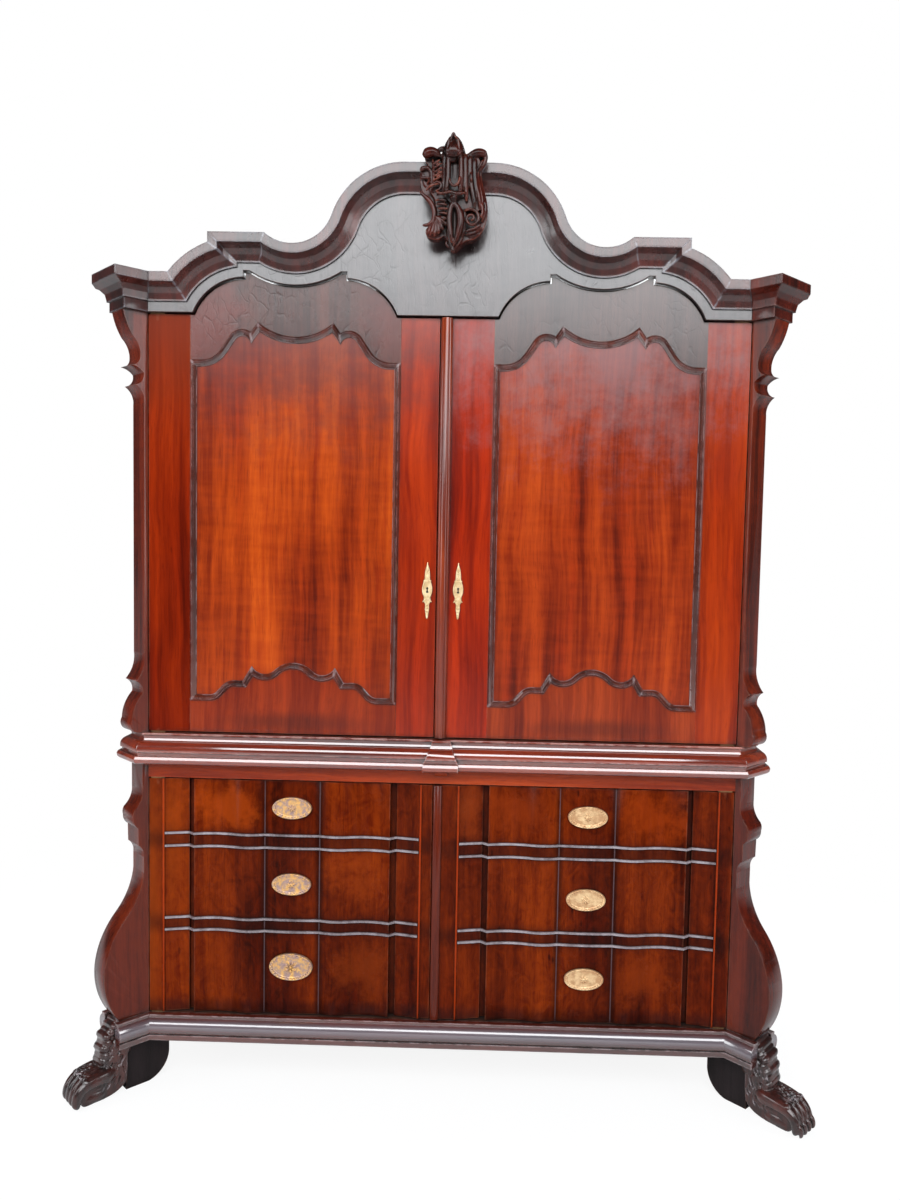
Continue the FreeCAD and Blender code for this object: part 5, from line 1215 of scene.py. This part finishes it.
def marks(sign: int) -> tuple[Patch, ...]:
    """Burr, painted shade and highlight at the creases, painted glints and painted bead shade of a lower
    door.

    Args:
        sign: -1 for the left door, 1 for the right one.

    Returns:
        The patches; each lies over the ones before it.
    """
    def spot(x: float, z: float, wide: float, high: float, colour: str, strength: float, ragged: float
             ) -> Patch:
        """Ragged spot."""
        return Patch((x, DOOR_PLANE, z), (wide, SKIN, high), colour, strength, 0.7, ragged)

    middle = sign * LOWER_DOOR_MIDDLE
    made = [spot(*burr) for burr in BURRS[sign]]
    # Painted shade: dark bands along the pairs of cock beads.
    made += [spot(middle, height, 0.9, 0.04, "1e0a08", 0.85, 0.35) for height in BEAD_SHADE_HEIGHTS[sign]]
    made.append(spot(middle, 0.20, 1.5, 0.035, "241010", 0.8, 0.5))
    # Painted shade beside the creases, painted highlight along them, painted glints on the upright beads.
    made += [Patch((sign * x, DOOR_PLANE, 0.48), (half, SKIN, 0.9), colour, strength, 0.9, 0.5)
             for places, half, colour, strength in CREASE_SHADE_HIGHLIGHT_AND_GLINTS for x in places]
    return tuple(made)


def field(x: float, z: float, wide: float, high: float, colour: str, **how: float) -> Patch:
    """Wide soft field on the upper doors, through the whole thickness."""
    return Patch((x, DOOR_PLANE, z), (wide, THROUGH, high), colour, **how)


# Painted sheen: a darker grey-brown haze over the top of the left door's panel and inner stile.
PAINTED_SHEEN_LEFT = field(-0.33, 1.90, 0.5, 0.40, "4e2a28", ragged=1.4)
CORNER = field(-0.66, 1.95, 0.3, 0.4, "6e260c", strength=0.9, cover=0.8)
# Painted sheen: a grey-lilac haze over the top of the right door's panel and stiles.
PAINTED_SHEEN_RIGHT = field(0.38, 1.95, 0.56, 0.46, "80686a", ragged=1.4)
LOW = field(-0.36, 0.925, 0.24, 0.035, "3a120c", strength=0.7)
LOW_RIGHT = field(0.38, 0.925, 0.24, 0.035, "3a120c", strength=0.7)
EMBER = field(-0.58, 1.88, 0.14, 0.16, "6a2014", strength=0.9, ragged=1.6)
GLOW = field(-0.13, 1.90, 0.10, 0.2, "5e1e14", strength=0.9, ragged=1.6)
SHARED = {"coat": 0.15, "coat_roughness": 0.2, "roughness": 0.2, "specular": 0.28, "cracks": 0.08,
          "bump": 0.06}
MATT = {"coat": 0.0, "coat_roughness": 0.2, "roughness": 0.22, "specular": 0.07, "bump": 0.06}
DULL = {"coat": 0.02, "coat_roughness": 0.2, "roughness": 0.26, "specular": 0.05, "burr": 1.5, "clouds": 0.9,
        "flecks": 0.7, "streaks": 0.35}
HEAD = {"curl": 0.4, "coat_roughness": 0.2, "cracks": 0.25, "crack_scale": 44.0}
# Finishes of the doors' wooden parts, by the node's name or by its end.
DOOR_WOODS = {
    "upper_door_left_hinge_stile": WoodFinish(
        "stile_far_left", "440b03", "7c1a04", "a23408", patches=(CORNER,), **MATT),
    "upper_door_left_lock_stile": WoodFinish(
        "stile_inner_left", "651203", "9f2704", "c04009", patches=(PAINTED_SHEEN_LEFT,), **SHARED),
    "upper_door_right_lock_stile": WoodFinish(
        "stile_inner_right", "600f03", "a02203", "c23c06", patches=(PAINTED_SHEEN_RIGHT,), shift=(1.0, 0.0, 0.0),
        **SHARED),
    "upper_door_right_hinge_stile": WoodFinish(
        "stile_far_right", "5f1102", "9b2a03", "bc4606", patches=(PAINTED_SHEEN_RIGHT,), shift=(2.0, 0.0, 0.0),
        **SHARED),
    "upper_door_left_panel": WoodFinish(
        "panel_left", "561303", "9b2f07", "c25010", clouds=1.0, patches=(PAINTED_SHEEN_LEFT,), shift=(0.0, 0.0, 3.0),
        curl=0.7, **SHARED),
    "upper_door_right_panel": WoodFinish(
        "panel_right", "4e1104", "92290a", "b84812", clouds=0.9, patches=(PAINTED_SHEEN_RIGHT,),
        shift=(4.0, 0.0, 1.0), curl=0.7, **SHARED),
    "upper_door_left_bottom_rail": WoodFinish(
        "foot_rail_left", "541004", "8c2808", "a84010", patches=(LOW,), shift=(5.0, 0.0, 0.0), **SHARED),
    "upper_door_right_bottom_rail": WoodFinish(
        "foot_rail_right", "541205", "94300e", "b0481a", patches=(LOW_RIGHT,), shift=(6.0, 0.0, 0.0),
        **SHARED),
    "upper_door_left_top_rail": WoodFinish(
        "head_rail_left", "240d0a", "48221a", "6c382a", coat=0.4, roughness=0.28, specular=0.36, bump=0.18,
        patches=(EMBER, GLOW), **HEAD),
    "upper_door_right_astragal": WoodFinish(
        "cover_strip_wood", "420e05", "7e260c", "a0421a", coat=0.45, roughness=0.2, highlight_and_rub=0.3, highlight_and_rub_tone="b08070",
        bump=0.05),
    "top_rail": WoodFinish("head_rail_right", "241412", "3e2824", "5c3a32", coat=0.8, **HEAD),
    # The beads' silver-grey edges are rubbing and painted highlight.
    "panel_moulding": WoodFinish(
        "bead_wood", "1a0804", "4c160a", "7a3014", coat=1.0, roughness=0.2, coat_ior=2.1,
        coat_roughness=0.08, highlight_and_rub=0.5, highlight_and_rub_tone="b8a8aa", dirt_and_shade=1.0, dirt_and_shade_reach=0.012, bump=0.04),
    # Painted sheen: the cock beads are toned pale grey-lilac all over for the silvery highlight along them,
    # with paler edges still.
    "cock_beads": WoodFinish(
        "cock_bead_painted_sheen", "4a3c3e", "827478", "aca4aa", coat=1.0, roughness=0.2, coat_roughness=0.1,
        highlight_and_rub=0.3, highlight_and_rub_tone="c4bcc2", dirt_and_shade_reach=0.008),
    "lower_door_right_astragal": WoodFinish(
        "lower_strip_wood", "260804", "54160a", "7a2c12", coat=0.3, roughness=0.22, specular=0.2, highlight_and_rub=0.4,
        highlight_and_rub_tone="8a6458"),
    "lower_door_left_front": WoodFinish(
        "front_left", "1e0602", "5a1504", "8c3407", patches=marks(-1), **DULL),
    "lower_door_right_front": WoodFinish(
        "front_right", "1e0602", "581404", "8c3408", patches=marks(1), shift=(3.0, 0.0, 0.0), **DULL),
}


@dataclass
class Doors:
    """The four doors and their metalwork."""

    nodes: dict[str, bpy.types.Object]
    effects: Effects

    def dress(self) -> None:
        """Give every piece of the doors its finish."""
        woods = {name: finish.build(self.effects) for name, finish in DOOR_WOODS.items()}
        brass = MetalFinish("old_brass", "80603c", "4c3420", "1e1008").build(self.effects)
        iron = MetalFinish("iron", "4a4642", "2e2b29", "120f0d", roughness=0.5).build(self.effects)
        for name, node in self.nodes.items():
            if "door" not in name:
                continue
            if name.endswith("_plates"):
                paint(node, brass)
            elif name.endswith("_lock"):
                paint(node, iron)
            elif name in woods:
                paint(node, woods[name])
            else:
                found = [wood for ending, wood in woods.items() if name.endswith(ending)]
                paint(node, found[0] if found else brass)
            if name.endswith(("stile", "_rail", "astragal", "_front")):
                soften(node, DOOR_EDGE)
        log.info("doors dressed")

    def mount_brass(self) -> None:
        """Add the keyhole plates and the oval plates."""
        pale, rose, gold, painted_keyhole_shade = (finish.build(self.effects) for finish in (
            MetalFinish("pale_brass", "f6dcae", "d8b684", "6a3c1c", metallic=0.45),
            MetalFinish("rose_brass", "f0cc9c", "cc9c70", "3c2018", metallic=0.5),
            MetalFinish("gold_brass", "ecb870", "b0928c", "301a18", metallic=0.5, stain_size=90.0),
            MetalFinish("keyhole_shade", "120806", "0a0504", "050302", metallic=0.0, roughness=0.7)))
        KeyPlate("left", -39.0).build(pale, painted_keyhole_shade)
        KeyPlate("right", 35.5).build(pale, painted_keyhole_shade)
        log.info("keyhole plates mounted")
        OvalPlates("left", (712.0, 521.0, 312.0), ((1.0, 1.0), (1.0, 1.0), (1.11, 1.27))).build(gold)
        OvalPlates("right", (708.0, 502.0, 302.0)).build(rose)
        log.info("oval plates mounted")


def main() -> None:
    """Build the looks round the frame."""
    logging.basicConfig(level=logging.INFO, format="%(name)s: %(message)s")
    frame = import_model()
    effects = Effects()
    case = Case(frame["nodes"], effects)
    case.dress()
    case.carve_crest()
    case.carve_paws()
    doors = Doors(frame["nodes"], effects)
    doors.dress()
    doors.mount_brass()
    Studio().build()


if __name__ == "__main__":
    main()
